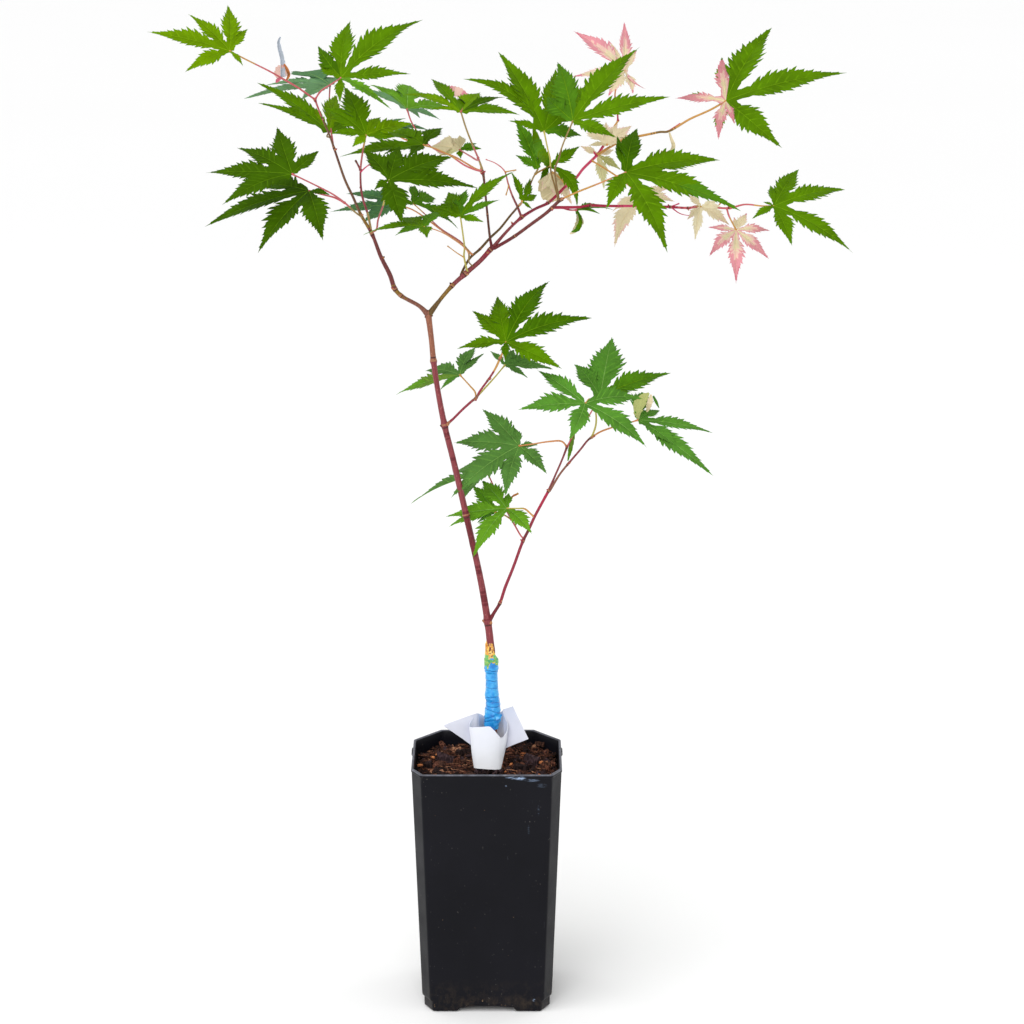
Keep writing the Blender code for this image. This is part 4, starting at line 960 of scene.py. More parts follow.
LIMBS = {
    # node: stations, radii along it, bands of bark up its length, knots (station index, height, spread), sides
    "bough_left": dict(st=[(427.5, 314, 0), (420, 306.5, -1), (401, 295.5, -4), (395, 289, -5), (390, 275, -6), (381, 257, -7), (372, 234, -8), (361, 215, -6),
                           (353, 197, -4), (345, 180, -1), (338, 160, 3), (334, 148, 6), (329, 134, 9), (320, 113, 12), (315, 99.5, 14)],
                       r=[1.9, 1.25, 1.15, 1.4, 1.36, 1.18, 1.0, 0.88, 0.76, 0.74, 0.72, 0.66, 0.62, 0.56, 0.6],
                       bands=[(0.12, "bark_tawny"), (0.17, "bark_olive"), (0.42, "bark_maroon"), (0.50, "bark_olive"), (0.73, "bark_hazel"), (0.79, "bark_umber"), (0.92, "bark_hazel"),
                                  (1, "stalk_brick")],
                       knots=[(2, 0.45, 1.8), (3, 0.35, 1.5), (6, 0.45, 1.8), (7, 0.25, 1.3), (11, 0.3, 1.3), (14, 0.35, 1.2)], sides=20),
    "bough_right": dict(st=[(429.5, 314, 0), (440, 300, 0), (452, 286, 1), (465, 274, 2), (480, 261, 3), (490, 250, 4), (493.5, 246.5, 4)],
                        r=[1.9, 1.15, 1.25, 1.5, 1.38, 1.5, 1.6],
                        bands=[(0.20, "bark_moss"), (0.40, "bark_olive"), (0.80, "bark_mauve"), (0.94, "bark_crimson"), (1, "bark_wine")],
                        knots=[(2, 0.35, 1.6), (3, 0.5, 2.0), (5, 0.3, 1.5)], sides=20),
    "shoot_upright": dict(st=[(491.5, 246, 4), (490, 238, 6), (487.5, 215, 12), (485, 190, 20), (483, 173, 26), (479, 160, 31), (473, 146, 36), (466, 128, 41),
                              (461, 112, 46)],
                          r=[0.95, 0.75, 0.68, 0.7, 0.78, 0.58, 0.55, 0.53, 0.52],
                          bands=[(0.05, "bark_wine"), (0.53, "bark_umber"), (0.62, "stalk_khaki"), (0.74, "stalk_brick"), (1, "stalk_khaki")],
                          knots=[(4, 0.4, 1.3), (2, 0.15, 1.2)], sides=14),
    "shoot_upper_right": dict(st=[(493.5, 247, 4), (500, 239, 6), (512, 226, 10), (521.5, 217.5, 14), (535, 209, 20), (548, 203, 26), (556, 196, 31),
                                  (565, 187, 37), (575, 179, 43), (583, 169, 50), (590, 162, 56), (597, 155, 62), (605, 143, 70), (612, 130, 77), (618, 121, 82)],
                              r=[1.3, 0.95, 0.82, 0.95, 0.84, 0.9, 0.9, 0.86, 0.82, 0.82, 0.86, 0.85, 0.7, 0.62, 0.6],
                              bands=[(0.16, "bark_mauve"), (0.38, "bark_crimson"), (0.50, "stalk_crimson"), (0.86, "stalk_pink"), (1, "stalk_tan")],
                              knots=[(3, 0.5, 1.6), (5, 0.25, 1.2), (8, 0.25, 1.1), (11, 0.45, 1.2)], sides=16),
    "shoot_lower_right": dict(st=[(494, 248, 4), (500, 245, 2), (515, 236, -4), (530, 225, -10), (545, 214, -17), (552, 208, -20), (558, 202, -23), (562, 199, -25)],
                              r=[1.3, 1.0, 1.0, 1.0, 1.0, 1.04, 0.98, 1.02],
                              bands=[(0.24, "bark_wine"), (0.92, "bark_maroon"), (1, "bark_umber")], knots=[(5, 0.35, 1.4), (7, 0.35, 1.3), (2, 0.2, 1.3)], sides=16),
    "shoot_level": dict(st=[(552, 207.5, -19), (580, 207, -16), (590, 205.5, -14), (610, 206, -11), (640, 206, -5), (660, 206.5, -2), (670, 207, 0),
                            (688, 208, 2), (700, 207, -3), (718, 208, -10), (730, 208, -16), (745, 204.5, -23), (762, 206, -30), (774, 206, -35)],
                        r=[0.95, 0.82, 0.84, 0.78, 0.75, 0.7, 0.76, 0.68, 0.6, 0.58, 0.64, 0.5, 0.45, 0.45],
                        bands=[(0.28, "stalk_crimson"), (0.44, "stalk_pink"), (0.54, "stalk_crimson"), (0.90, "stalk_rose"), (1, "stalk_tan")],
                        knots=[(2, 0.3, 1.1), (6, 0.35, 1.1), (7, 0.3, 1.0), (10, 0.35, 1.0)], sides=12),
    "shoot_thin_inner": dict(st=[(461, 275, 2), (463, 270, 5), (470, 258, 10), (480, 249, 14), (491, 237, 16), (500, 228.5, 17), (510, 216, 17),
                                 (520, 204.5, 17), (524, 200, 18), (528, 190, 18), (533, 178, 17), (538, 169, 12.3)],
                             r=[0.85, 0.75, 0.75, 0.78, 0.75, 0.7, 0.66, 0.62, 0.6, 0.55, 0.5, 0.55],
                             bands=[(0.60, "bark_moss"), (0.68, "bark_hazel"), (0.88, "bark_moss"), (1, "stalk_khaki")], knots=[(7, 0.25, 0.9), (3, 0.15, 0.9)], sides=10),
    "bough_middle": dict(st=[(446.5, 424.5, 0), (453, 419, -5), (462, 410, -6), (472, 401, -5), (476, 398, -5), (480, 391, -6), (488, 380, -8),
                             (494, 371, -10), (498, 363, -12), (500, 358, -13)],
                         r=[1.0, 0.74, 0.72, 0.76, 0.8, 0.64, 0.62, 0.64, 0.7, 0.75],
                         bands=[(0.08, "scar"), (0.40, "bark_crimson"), (0.50, "bark_tawny"), (0.82, "bark_crimson"), (1, "stalk_tan")], knots=[(4, 0.35, 1.2), (6, 0.2, 1.0), (9, 0.3, 1.0)], sides=14),
    "bough_low": dict(st=[(489, 621.5, 0), (494, 613, -2), (500, 603, -3), (505, 588, -4), (513, 568, -6), (523, 541, -8), (528, 531, -8), (535, 516, -9),
                          (549, 490, -11)],
                      r=[1.4, 1.06, 0.98, 1.0, 0.95, 0.94, 0.92, 0.88, 0.9],
                      bands=[(0.16, "bark_wine"), (0.60, "bark_crimson"), (0.70, "bark_wine"), (0.86, "bark_crimson"), (1, "stalk_crimson")],
                      knots=[(2, 0.4, 1.2), (5, 0.4, 1.2), (8, 0.4, 1.3)], sides=14),
    "bough_low_left_fork": dict(st=[(548.5, 491, -11), (555, 476, -8), (562, 460, -4), (567, 447, 0)], r=[0.82, 0.62, 0.6, 0.72],
                                bands=[(1, "bark_mauve")], knots=[(3, 0.3, 1.0)], sides=12),
    "bough_low_right_fork": dict(st=[(549.5, 491, -11), (560, 474, -13), (568, 464, -15), (580, 450, -18), (588, 440, -20), (592, 437, -21)],
                                 r=[0.82, 0.64, 0.66, 0.62, 0.65, 0.78], bands=[(0.45, "bark_tawny"), (0.90, "bark_mauve"), (1, "bark_umber")],
                                 knots=[(2, 0.3, 1.0), (5, 0.35, 1.1)], sides=12),
}
TRUNK = dict(st=[(491, 770, 0), (491, 750, 0), (491.3, 727, 0), (491.5, 690, 0), (491.2, 664, 0), (490, 640, 0), (484.3, 600, 0), (478.5, 570, 0), (466, 515, 0),
                 (453.3, 460, 0), (444.5, 425, 0), (437, 385, 0), (433.5, 361, 0), (431.5, 340, 0), (428.5, 316, 0), (428, 311.5, 0)],
             r=[5.4, 4.1, 3.6, 2.9, 2.65, 2.25, 2.06, 1.98, 1.92, 1.87, 1.86, 1.62, 1.74, 1.6, 1.85, 1.6])

# twigs that carry one leaf or none: stations, start and end radius, bands
TWIGS = {
    "to_far_right_top": ([(597, 155, 62), (610, 147, 57), (625, 139, 52), (640, 136, 48), (650, 134, 45), (660, 132, 42), (668, 131.5, 40), (690, 119, 36),
                          (710, 110, 33), (726, 101, 30)], 0.85, 0.6, [(0.45, "stalk_tan"), (0.6, "stalk_olive"), (1, "stalk_tan")]),
    "inner_pair": ([(521.5, 217.5, 14), (518, 208, 17), (512, 195, 22), (508, 183, 27), (505, 172, 31), (502, 168, 33), (495, 163, 36), (486, 159.5, 40)],
                   0.8, 0.22, [(0.30, "bark_mauve"), (0.65, "stalk_brick"), (1, "stalk_rose")]),
    "inner_pair_tip": ([(505, 172, 31), (510, 171, 30), (516, 170, 29)], 0.45, 0.3, [(1, "stalk_tan")]),
    "inner_pair_spur": ([(508.5, 186, 26), (507.5, 190, 24), (506, 195, 22)], 0.4, 0.3, [(1, "stalk_tan")]),
    "to_left_middle": ([(373, 232, -8), (368, 215, -7), (362, 195, -7), (360.5, 172, -7), (363, 150, -10), (366, 135, -12)], 0.75, 0.5,
                       [(0.2, "stalk_khaki"), (0.62, "bark_mauve"), (0.86, "stalk_brick"), (1, "stalk_tan")]),
    "left_middle_stub": ([(361, 170, -7), (358, 165, -6), (355.5, 160.5, -5)], 0.66, 0.5, [(0.7, "bark_mauve"), (1, "bark_umber")]),
    "left_middle_spur": ([(360.5, 172, -7), (366, 167, -8), (372, 163, -9)], 0.45, 0.3, [(1, "stalk_pink")]),
    "to_centre_front": ([(376, 230, -9), (378, 220, -13), (383, 206, -22), (386, 192, -32), (389, 180, -40)], 0.6, 0.45, [(0.5, "stalk_brick"), (1, "stalk_lime")]),
    "to_centre_low": ([(469, 262, 0), (469, 253, 0), (462, 243, 2), (440, 228, 4), (427, 216, 5), (413, 203.3, 5)], 0.46, 0.36, [(0.10, "bark_moss"), (0.3, "stalk_khaki"), (0.85, "stalk_brick"), (1, "stalk_tan")]),
    "to_centre_low_front": ([(469, 262, -3), (468, 252, -10), (450, 237, -30), (436, 230, -46), (424, 227, -55)], 0.40, 0.30, [(0.2, "stalk_khaki"), (1, "stalk_orange")]),
    "to_inner_fork": ([(467, 270, -1), (464, 256, -5), (464.5, 248, -9), (463, 235, -16), (460.5, 217, -25)], 0.6, 0.45, [(1, "stalk_lime")]),
    "inner_fork_spur": ([(464, 258, -5), (457, 253, -5), (447.5, 246, -5)], 0.4, 0.25, [(1, "stalk_tan")]),
    "level_fork_a": ([(670, 207, 0), (674, 205.5, 1), (679, 203.5, 2)], 0.5, 0.3, [(1, "stalk_pink")]),
    "level_fork_b": ([(671, 208, 0), (680, 213.5, 1), (690.5, 216, 2)], 0.45, 0.15, [(1, "stalk_pink")]),
    "level_fork_c": ([(716, 208, -9), (719, 205, -8), (720.5, 203, -7)], 0.4, 0.3, [(1, "stalk_tan")]),
    "twig_fork": ([(668, 131.5, 40), (673, 128, 42), (680, 123.5, 44)], 0.5, 0.3, [(1, "stalk_pink")]),
    "low_front_arch": ([(592, 436, -21), (596, 424, -22), (595, 408, -26), (590, 399, -34), (585.5, 403, -42)], 0.6, 0.45, [(0.5, "stalk_lime"), (1, "stalk_tan")]),
    "low_back_arch": ([(568, 446, 0), (575, 433, 4), (585, 422, 6), (597, 402, 10), (600, 398, 12)], 0.55, 0.4, [(1, "stalk_rose")]),
}
# leaf stalks: stations, bands
STALKS = {
    "far_left": ([(315, 99.5, 14), (300, 89, 8), (285, 80, 2), (270, 71.5, -5), (255, 64, -11), (242, 57.5, -16), (229.5, 51, -20)], [(0.72, "stalk_rose"), (1, "stalk_tan")]),
    "left_fan_upper": ([(362, 217.5, -6), (355, 212, -14), (345, 203, -22), (334, 195, -28), (325, 190, -33), (313, 184, -38), (292, 174, -45)],
                       [(0.25, "stalk_khaki"), (1, "stalk_rose")]),
    "left_fan_lower": ([(345, 203, -22), (334, 197.5, -24), (322, 194.5, -25), (309, 191, -26)], [(1, "stalk_rose")]),
    "left_crown": ([(315, 97.5, 14), (320, 92, 10), (330, 85, 0), (341, 78, -10)], [(1, "stalk_rose")]),
    "left_back": ([(334, 149, 8), (331, 130, 26), (329, 110, 48), (330, 85, 72)], [(1, "stalk_rose")]),
    "left_bough_end": ([(329.5, 137, 9), (327, 136.5, 15), (329, 132, 24)], [(1, "stalk_olive")]),
    "centre_back": ([(480, 170, 30), (455, 157, 50), (430, 146, 68), (412, 123, 79), (407, 109, 82)], [(0.4, "stalk_orange"), (1, "stalk_rose")]),
    "centre_back_small": ([(427, 145, 73), (404, 139, 86), (388, 128, 100)], [(1, "stalk_orange")]),
    "centre_low_back": ([(466, 248, 12), (440, 229, 24), (413, 210, 41), (398, 205, 47)], [(1, "stalk_orange")]),
    "cream_centre": ([(478, 160, 34), (470, 156, 52), (460, 150, 77)], [(1, "stalk_rose")]),
    "right_middle": ([(562, 199, -25), (575, 193, -32), (600, 183, -46), (612, 178, -53), (626, 172.5, -60)], [(0.5, "stalk_tan"), (1, "stalk_orange")]),
    "right_crown_back": ([(558, 200, -22), (556, 190, -22), (551, 172, -23), (550, 158, -25), (548, 150, -27), (544, 131, -30)], [(0.5, "stalk_olive"), (1, "stalk_lime")]),
    "right_crown_front": ([(558, 200, -24), (555, 170, -34), (559, 158, -40), (562, 147, -46), (568, 132, -52), (573, 121, -57)], [(0.66, "stalk_olive"), (1, "stalk_khaki")]),
    "small_tuft": ([(520, 206, 16), (521.5, 203.5, 11), (522, 201, 7)], [(1, "stalk_tan")]),
    "tuft_right": ([(536.5, 173, 16), (542, 170, 20), (549, 166, 23)], [(1, "stalk_tan")]),
    "cream_tuft": ([(566, 186, 38), (560, 178, 41), (552, 172, 44)], [(1, "stalk_tan")]),
    "edge_on": ([(561, 207.5, -18), (570, 210, -14), (577, 210, -12)], [(0.6, "stalk_crimson"), (1, "stalk_rose")]),
    "pink_top": ([(618, 121, 82), (617, 108, 90), (615, 94, 97), (618, 82, 96), (625, 71, 90)], [(0.5, "stalk_crimson"), (1, "stalk_orange")]),
    "cream_upper": ([(611, 133, 75), (609, 137, 66), (607, 145, 54)], [(1, "stalk_tan")]),
    "cream_lower": ([(609, 137, 73), (604, 146, 77), (598, 155, 78)], [(1, "stalk_rose")]),
    "cream_hanging": ([(592, 160, 57), (604, 168, 52), (622, 180, 47), (640, 195, 42)], [(1, "stalk_tan")]),
    "cream_right": ([(690, 208, 2), (696, 206, -4), (701, 207, -10)], [(0.5, "stalk_rose"), (1, "stalk_tan")]),
    "pink_right": ([(727, 208, -14), (729, 216, -21), (736, 230, -27)], [(0.5, "stalk_rose"), (1, "stalk_tan")]),
    "centre_upper": ([(480, 171, 27), (466, 166, 28), (450, 155.5, 29), (436, 149, 30), (423, 145, 30)], [(0.45, "stalk_rose"), (1, "stalk_tan")]),
    "middle_left": ([(475, 397, -5), (475, 392, 2), (470, 386, 10), (460, 375, 25)], [(1, "stalk_tan")]),
    "middle_small": ([(476, 397, -4), (485, 388, 3), (495, 377, 9), (505, 365, 15)], [(0.12, "bark_tawny"), (1, "stalk_lime")]),
    "middle_crown": ([(500, 358, -13), (503, 352, -17), (506, 342, -20)], [(1, "stalk_tan")]),
    "lower_left": ([(567, 446, 0), (562, 441.5, 3), (550, 441.5, 8), (533, 444, 15), (519, 446, 20)], [(1, "stalk_orange")]),
    "lower_left_back": ([(521, 536, -5), (514, 524, 4), (505, 508, 24), (495, 489, 38), (488, 474, 47)], [(1, "stalk_rose")]),
    "lower_right_end": ([(592, 436, -21), (600, 432, -20), (609, 428.5, -18), (630, 422.5, -18), (638, 420, -20)], [(1, "stalk_orange")]),
    "lowest": ([(532, 515, -8), (525, 509, -4), (518, 508.5, 1), (507, 508.5, 6)], [(0.4, "stalk_tan"), (1, "stalk_lime")]),
    "lowest_back": ([(512, 520, 9), (504, 515, 22), (495, 512, 32)], [(1, "stalk_tan")]),
    "curled_grey": ([(315, 99.5, 14), (307, 94, 22), (298, 87.7, 33), (289, 82, 44), (281, 78, 50)], [(1, "stalk_rose")]),
    "curled_pink": ([(461, 112, 46), (464, 106, 56), (467, 99, 66)], [(1, "stalk_rose")]),
    "low_sprout": ([(505, 508, 24), (511, 498, 23), (518, 493.5, 22)], [(1, "stalk_tan")]),
}
# buds: place, which way they point, length, radius, materials
BUDS = [
    ((383, 258, -7), (0.7, -0.3, 0.7), 1.8, 0.8, "bud", "scar_dark"), ((393.5, 289, -6), (-0.8, -0.3, 0.5), 2.0, 0.9, "bud", "bud_red"),
    ((400, 296, -5), (-0.5, -0.3, 0.8), 2.2, 0.9, "scar", "bud"), ((372, 233, -9), (-0.8, -0.4, 0.5), 2.4, 0.9, "bud", "scar_dark"),
    ((361, 216, -7), (0.7, -0.5, 0.6), 2.2, 0.8, "scar", "bud"), ((334.5, 150, 5), (0.8, -0.4, 0.5), 2.2, 0.75, "bud", "bud_red"),
    ((316, 101, 13), (-0.7, -0.4, 0.7), 2.4, 0.75, "bud_red", "bud"), ((451.5, 285, 0), (-0.5, -0.5, 0.9), 2.6, 0.95, "bud", "scar_dark"),
    ((466, 274, 1), (0.7, -0.4, -0.1), 2.2, 0.9, "scar", "bud"), ((487.5, 252, 3), (0.3, -0.6, -0.7), 2.2, 0.9, "bud", "bud_red"),
    ((513, 224, 10), (-0.5, -0.4, 0.8), 2.6, 0.7, "bud_red", "bud"), ((521.5, 216, 13), (0.4, -0.6, 0.8), 2.4, 0.8, "bud", "bud_red"),
    ((547, 204, 25), (-0.2, -0.5, 0.9), 2.2, 0.7, "bud_red", "bud_red"), ((575, 178, 42), (-0.6, -0.4, 0.7), 2.4, 0.6, "bud_red", "bud_red"),
    ((596, 155, 61), (-0.6, -0.3, 0.9), 3.4, 0.7, "stalk_pink", "stalk_pink"), ((552, 208, -21), (0.1, -0.6, -0.8), 2.2, 0.8, "bud", "bud_red"),
    ((561, 199, -26), (0.9, -0.4, 0.3), 2.4, 0.75, "bud", "bud_red"), ((590, 205, -15), (0.2, -0.4, 0.9), 1.9, 0.6, "bud_red", "bud_red"),
    ((669, 206, -1), (-0.3, -0.5, 0.9), 2.0, 0.6, "bud_red", "bud_red"), ((688, 208, 1), (0.2, -0.6, -0.8), 2.0, 0.6, "bud_red", "bud"),
    ((729, 208.5, -16), (-0.3, -0.3, 0.9), 2.2, 0.6, "bud_red", "bud_red"), ((483.5, 172.5, 25), (0.7, -0.4, 0.6), 2.2, 0.7, "bud_red", "bud_red"),
    ((482, 174, 25), (-0.7, -0.4, 0.6), 2.2, 0.7, "bud_red", "bud"), ((441.5, 426, -0.5), (-0.8, -0.3, 0.2), 1.7, 1.0, "scar_dark", "scar_dark"),
    ((425.8, 316.5, 0), (-0.8, -0.3, -0.3), 1.5, 0.9, "scar", "scar_dark"), ((431.5, 316, 0), (0.8, -0.3, -0.2), 1.5, 0.9, "scar", "scar_dark"),
    ((447, 424.5, -1.2), (0.7, -0.5, 0.1), 1.9, 1.1, "bud", "scar"), ((489, 380.5, -9), (0.7, -0.4, 0.5), 2.4, 0.7, "bud_red", "bud"),
    ((475.5, 399, -6), (0.3, -0.8, -0.4), 2.2, 0.8, "bud", "bud_red"), ((499.5, 358, -14), (0.8, -0.4, 0.4), 2.2, 0.7, "bud", "bud_red"),
    ((484, 621.5, -0.6), (-0.85, -0.5, 0.5), 2.6, 1.15, "bud", "scar"), ((490.5, 623, -1.4), (0.55, -0.8, -0.1), 2.8, 1.3, "scar", "bud"),
    ((500, 602, -4), (0.7, -0.4, 0.6), 2.2, 0.7, "bud_red", "bud"), ((523, 541, -9), (-0.8, -0.3, 0.5), 2.4, 0.7, "bud_red", "bud_red"),
    ((549, 490.5, -12), (-0.7, -0.5, 0.4), 2.3, 0.7, "bud", "bud_red"), ((568, 464, -16), (0.8, -0.3, 0.5), 2.2, 0.65, "bud_red", "bud"),
    ((567, 447, -1), (-0.2, -0.6, 0.8), 2.4, 0.7, "bud_red", "bud"), ((592, 437, -22), (0.9, -0.3, 0.3), 2.4, 0.7, "bud", "bud_red"),
    ((333, 193.5, -29), (0.2, -0.9, 0.2), 1.2, 0.8, "stalk_wine", "stalk_wine"), ((467.5, 270, 1), (-0.7, -0.4, 0.6), 2.0, 0.7, "bud", "bud"),
]


SPRINGS = {   # twigs and stalks that spring from another twig or stalk, not from a limb
    "inner_pair_tip": "inner_pair", "inner_pair_spur": "inner_pair", "left_middle_stub": "to_left_middle", "left_middle_spur": "to_left_middle",
    "inner_fork_spur": "to_inner_fork", "twig_fork": "to_far_right_top", "left_fan_lower": "left_fan_upper", "centre_back_small": "centre_back",
    "lowest_back": "lower_left_back", "low_sprout": "lower_left_back",
}


def rooted(axes, own, st):
    """The stations of a twig or stalk, its foot carried on to the middle of the limb it springs from."""
    p = [at(*q) for q in st]
    names = [SPRINGS[own]] if own in SPRINGS else [name for name in axes if name == "trunk" or name in LIMBS]
    gap, foot = 1e9, p[0]
    for name in names:
        off = np.linalg.norm(axes[name] - p[0], axis=1)
        k = int(np.argmin(off))
        if off[k] < gap:
            gap, foot = float(off[k]), axes[name][k]
    if gap > 0.25:
        p = [foot] + (p if gap > 1.4 else p[1:])
    return p


def seated(ribs, p):
    """A bud's place, drawn in until its foot is under the bark of the nearest limb."""
    gap, mid, r = 1e9, p, 1.0
    for path, radii in ribs:
        off = np.linalg.norm(path - p, axis=1)
        k = int(np.argmin(off))
        if off[k] < gap:
            gap, mid, r = float(off[k]), path[k], float(radii[k])
    return p if gap < 0.6 * r else mid + (p - mid) * (0.6 * r / gap)


def grow_limbs():
    ribs = []
    axes = {"trunk": smooth_path([at(*p) for p in TRUNK["st"]], 0.6)[0]}
    for table in (LIMBS, TWIGS, STALKS):
        for name, d in table.items():
            if name not in axes:
                axes[name] = smooth_path([at(*p) for p in (d["st"] if isinstance(d, dict) else d[0])], 0.6)[0]
    # the stem, with its rings and leaf scars
    bag = Bag("trunk_bark", "bark", ["trunk"])
    st = [at(*p) for p in TRUNK["st"]]
    path, marks = smooth_path(st, 0.9)
    radii = np.interp(np.arange(len(path)), marks, TRUNK["r"])
    knots = [(at(488, 621, 0), 0.55, 2.4), (at(466, 515, 0), 0.42, 1.5), (at(444.5, 425, 0), 0.5, 2.0), (at(433.5, 361, 0), 0.5, 1.3),
             (at(472.5, 545, 0), 0.12, 1.6), (at(455.5, 470, 0), 0.10, 1.5), (at(428.5, 316, 0), 0.12, 3.0), (at(490.5, 650, 0), 0.25, 3.0)]
    radii = swollen(path, radii, knots)
    ribs.append((path, radii))
    v_at = np.interp(np.arange(len(path)), marks, [p[1] for p in TRUNK["st"]])
    r = rng_of("trunk mats")
    mats = []
    for v in v_at:
        w = v + r.uniform(-3, 3)
        if v > 712:
            m = "root_brown"
        elif abs(v - 361) < 0.9 or abs(v - 515) < 0.8 or abs(v - 425) < 0.9:
            m = "scar"
        elif abs(v - 358.4) < 0.9 or abs(v - 518) < 1.2 or abs(v - 428) < 1.0 or abs(v - 624.5) < 1.0:
            m = "scar_dark"
        elif w < 361:
            m = "bark_brown"
        elif w < 424:
            m = "bark_mauve"
        elif w < 470:
            m = "bark_mauve" if int(w / 6) % 4 else "bark_wine"
        elif w < 515:
            m = "bark_mauve"
        elif w < 556:
            m = "bark_wine"
        elif w < 622:
            m = "bark_wine" if (int(w / 9) % 3 == 0) else "bark_mauve"
        else:
            m = "bark_mauve" if w < 644 else "bark_rust"
        mats.append(m)
    tube(bag, path, radii, mats, sides=30, relief=0.045, seed="trunk")
    # the root flare: short roots that run from the stem's foot down into the mix
    foot_x = at(491, 760, 0)[0]
    for a, far, thick in ((0.35, 11.5, 2.3), (1.25, 10.0, 1.9), (1.95, 12.5, 2.2), (2.9, 10.5, 2.4), (3.75, 9.0, 1.7), (5.75, 10.0, 2.0)):
        d = np.array([math.cos(a), math.sin(a), 0])
        swing = np.array([-math.sin(a), math.cos(a), 0]) * r.uniform(-1.5, 1.5)
        st = [np.array([foot_x, 0, 154.0]) + d * 2.0, np.array([foot_x, 0, 150.4]) + d * 4.2, np.array([foot_x, 0, 148.0]) + d * 7.0 + swing * 0.6,
              np.array([foot_x, 0, 145.6]) + d * far + swing]
        run, _ = smooth_path(st, 0.8)
        k = np.linspace(0, 1, len(run))
        tube(bag, run, thick * (1 - 0.62 * k), ["root_brown"] * len(run), sides=12, relief=0.10, seed=f"root{a}")
    bag.build(70)
    for name, d in LIMBS.items():
        bag = Bag(name + "_bark", "bark", [name])
        st = [at(*p) for p in d["st"]]
        path, marks = smooth_path(st, 0.8)
        radii = np.interp(np.arange(len(path)), marks, d["r"])
        radii = swollen(path, radii, [(st[k], 0.75 * h, w) for k, h, w in d["knots"]])
        mats = banded(len(path), d["bands"], name)
        for k, h, w in d["knots"]:
            j = min(len(path) - 2, marks[k])
            mats[j] = "scar"
            if j > 2:
                mats[j - 1] = "scar_dark"
        ribs.append((path, radii))
        tube(bag, path, radii, mats, sides=d["sides"], relief=0.05, seed=name)
        bag.build(70)
    bag = Bag("twigs_and_stalks", "bark")
    for name, (st, r0, r1, bands) in TWIGS.items():
        path, marks = smooth_path(rooted(axes, name, st), 0.9)
        n = len(path)
        radii = np.linspace(r0, r1, n)
        radii[:2] *= (1.6, 1.25)
        radii = swollen(path, radii, [(path[-1], 0.18, 1.2)])
        ribs.append((path, radii))
        tube(bag, path, radii, banded(n, bands, name), sides=9, relief=0.04, seed=name)
    for name, (st, bands) in STALKS.items():
        path, marks = smooth_path(rooted(axes, name, st), 0.9)
        n = len(path)
        c = at(*LEAVES[name]["c"]) if name in LEAVES else path[-1]
        path[-1] = c + (path[-1] - c) * 0.2
        radii = np.full(n, 0.50) + 0.06 * np.sin(np.linspace(0, 6, n))
        radii = swollen(path, radii, [(path[0], 0.42, 1.3), (path[-1], 0.30, 1.4)])
        tube(bag, path, radii, banded(n, bands, name), sides=9, relief=0.03, seed=name)
    bag.build(70)
    bag = Bag("buds", "bark")
    for p, d, length, radius, a, b in BUDS:
        bud(bag, seated(ribs, at(*p)), d, length, radius, a, b)
    bag.build(70)


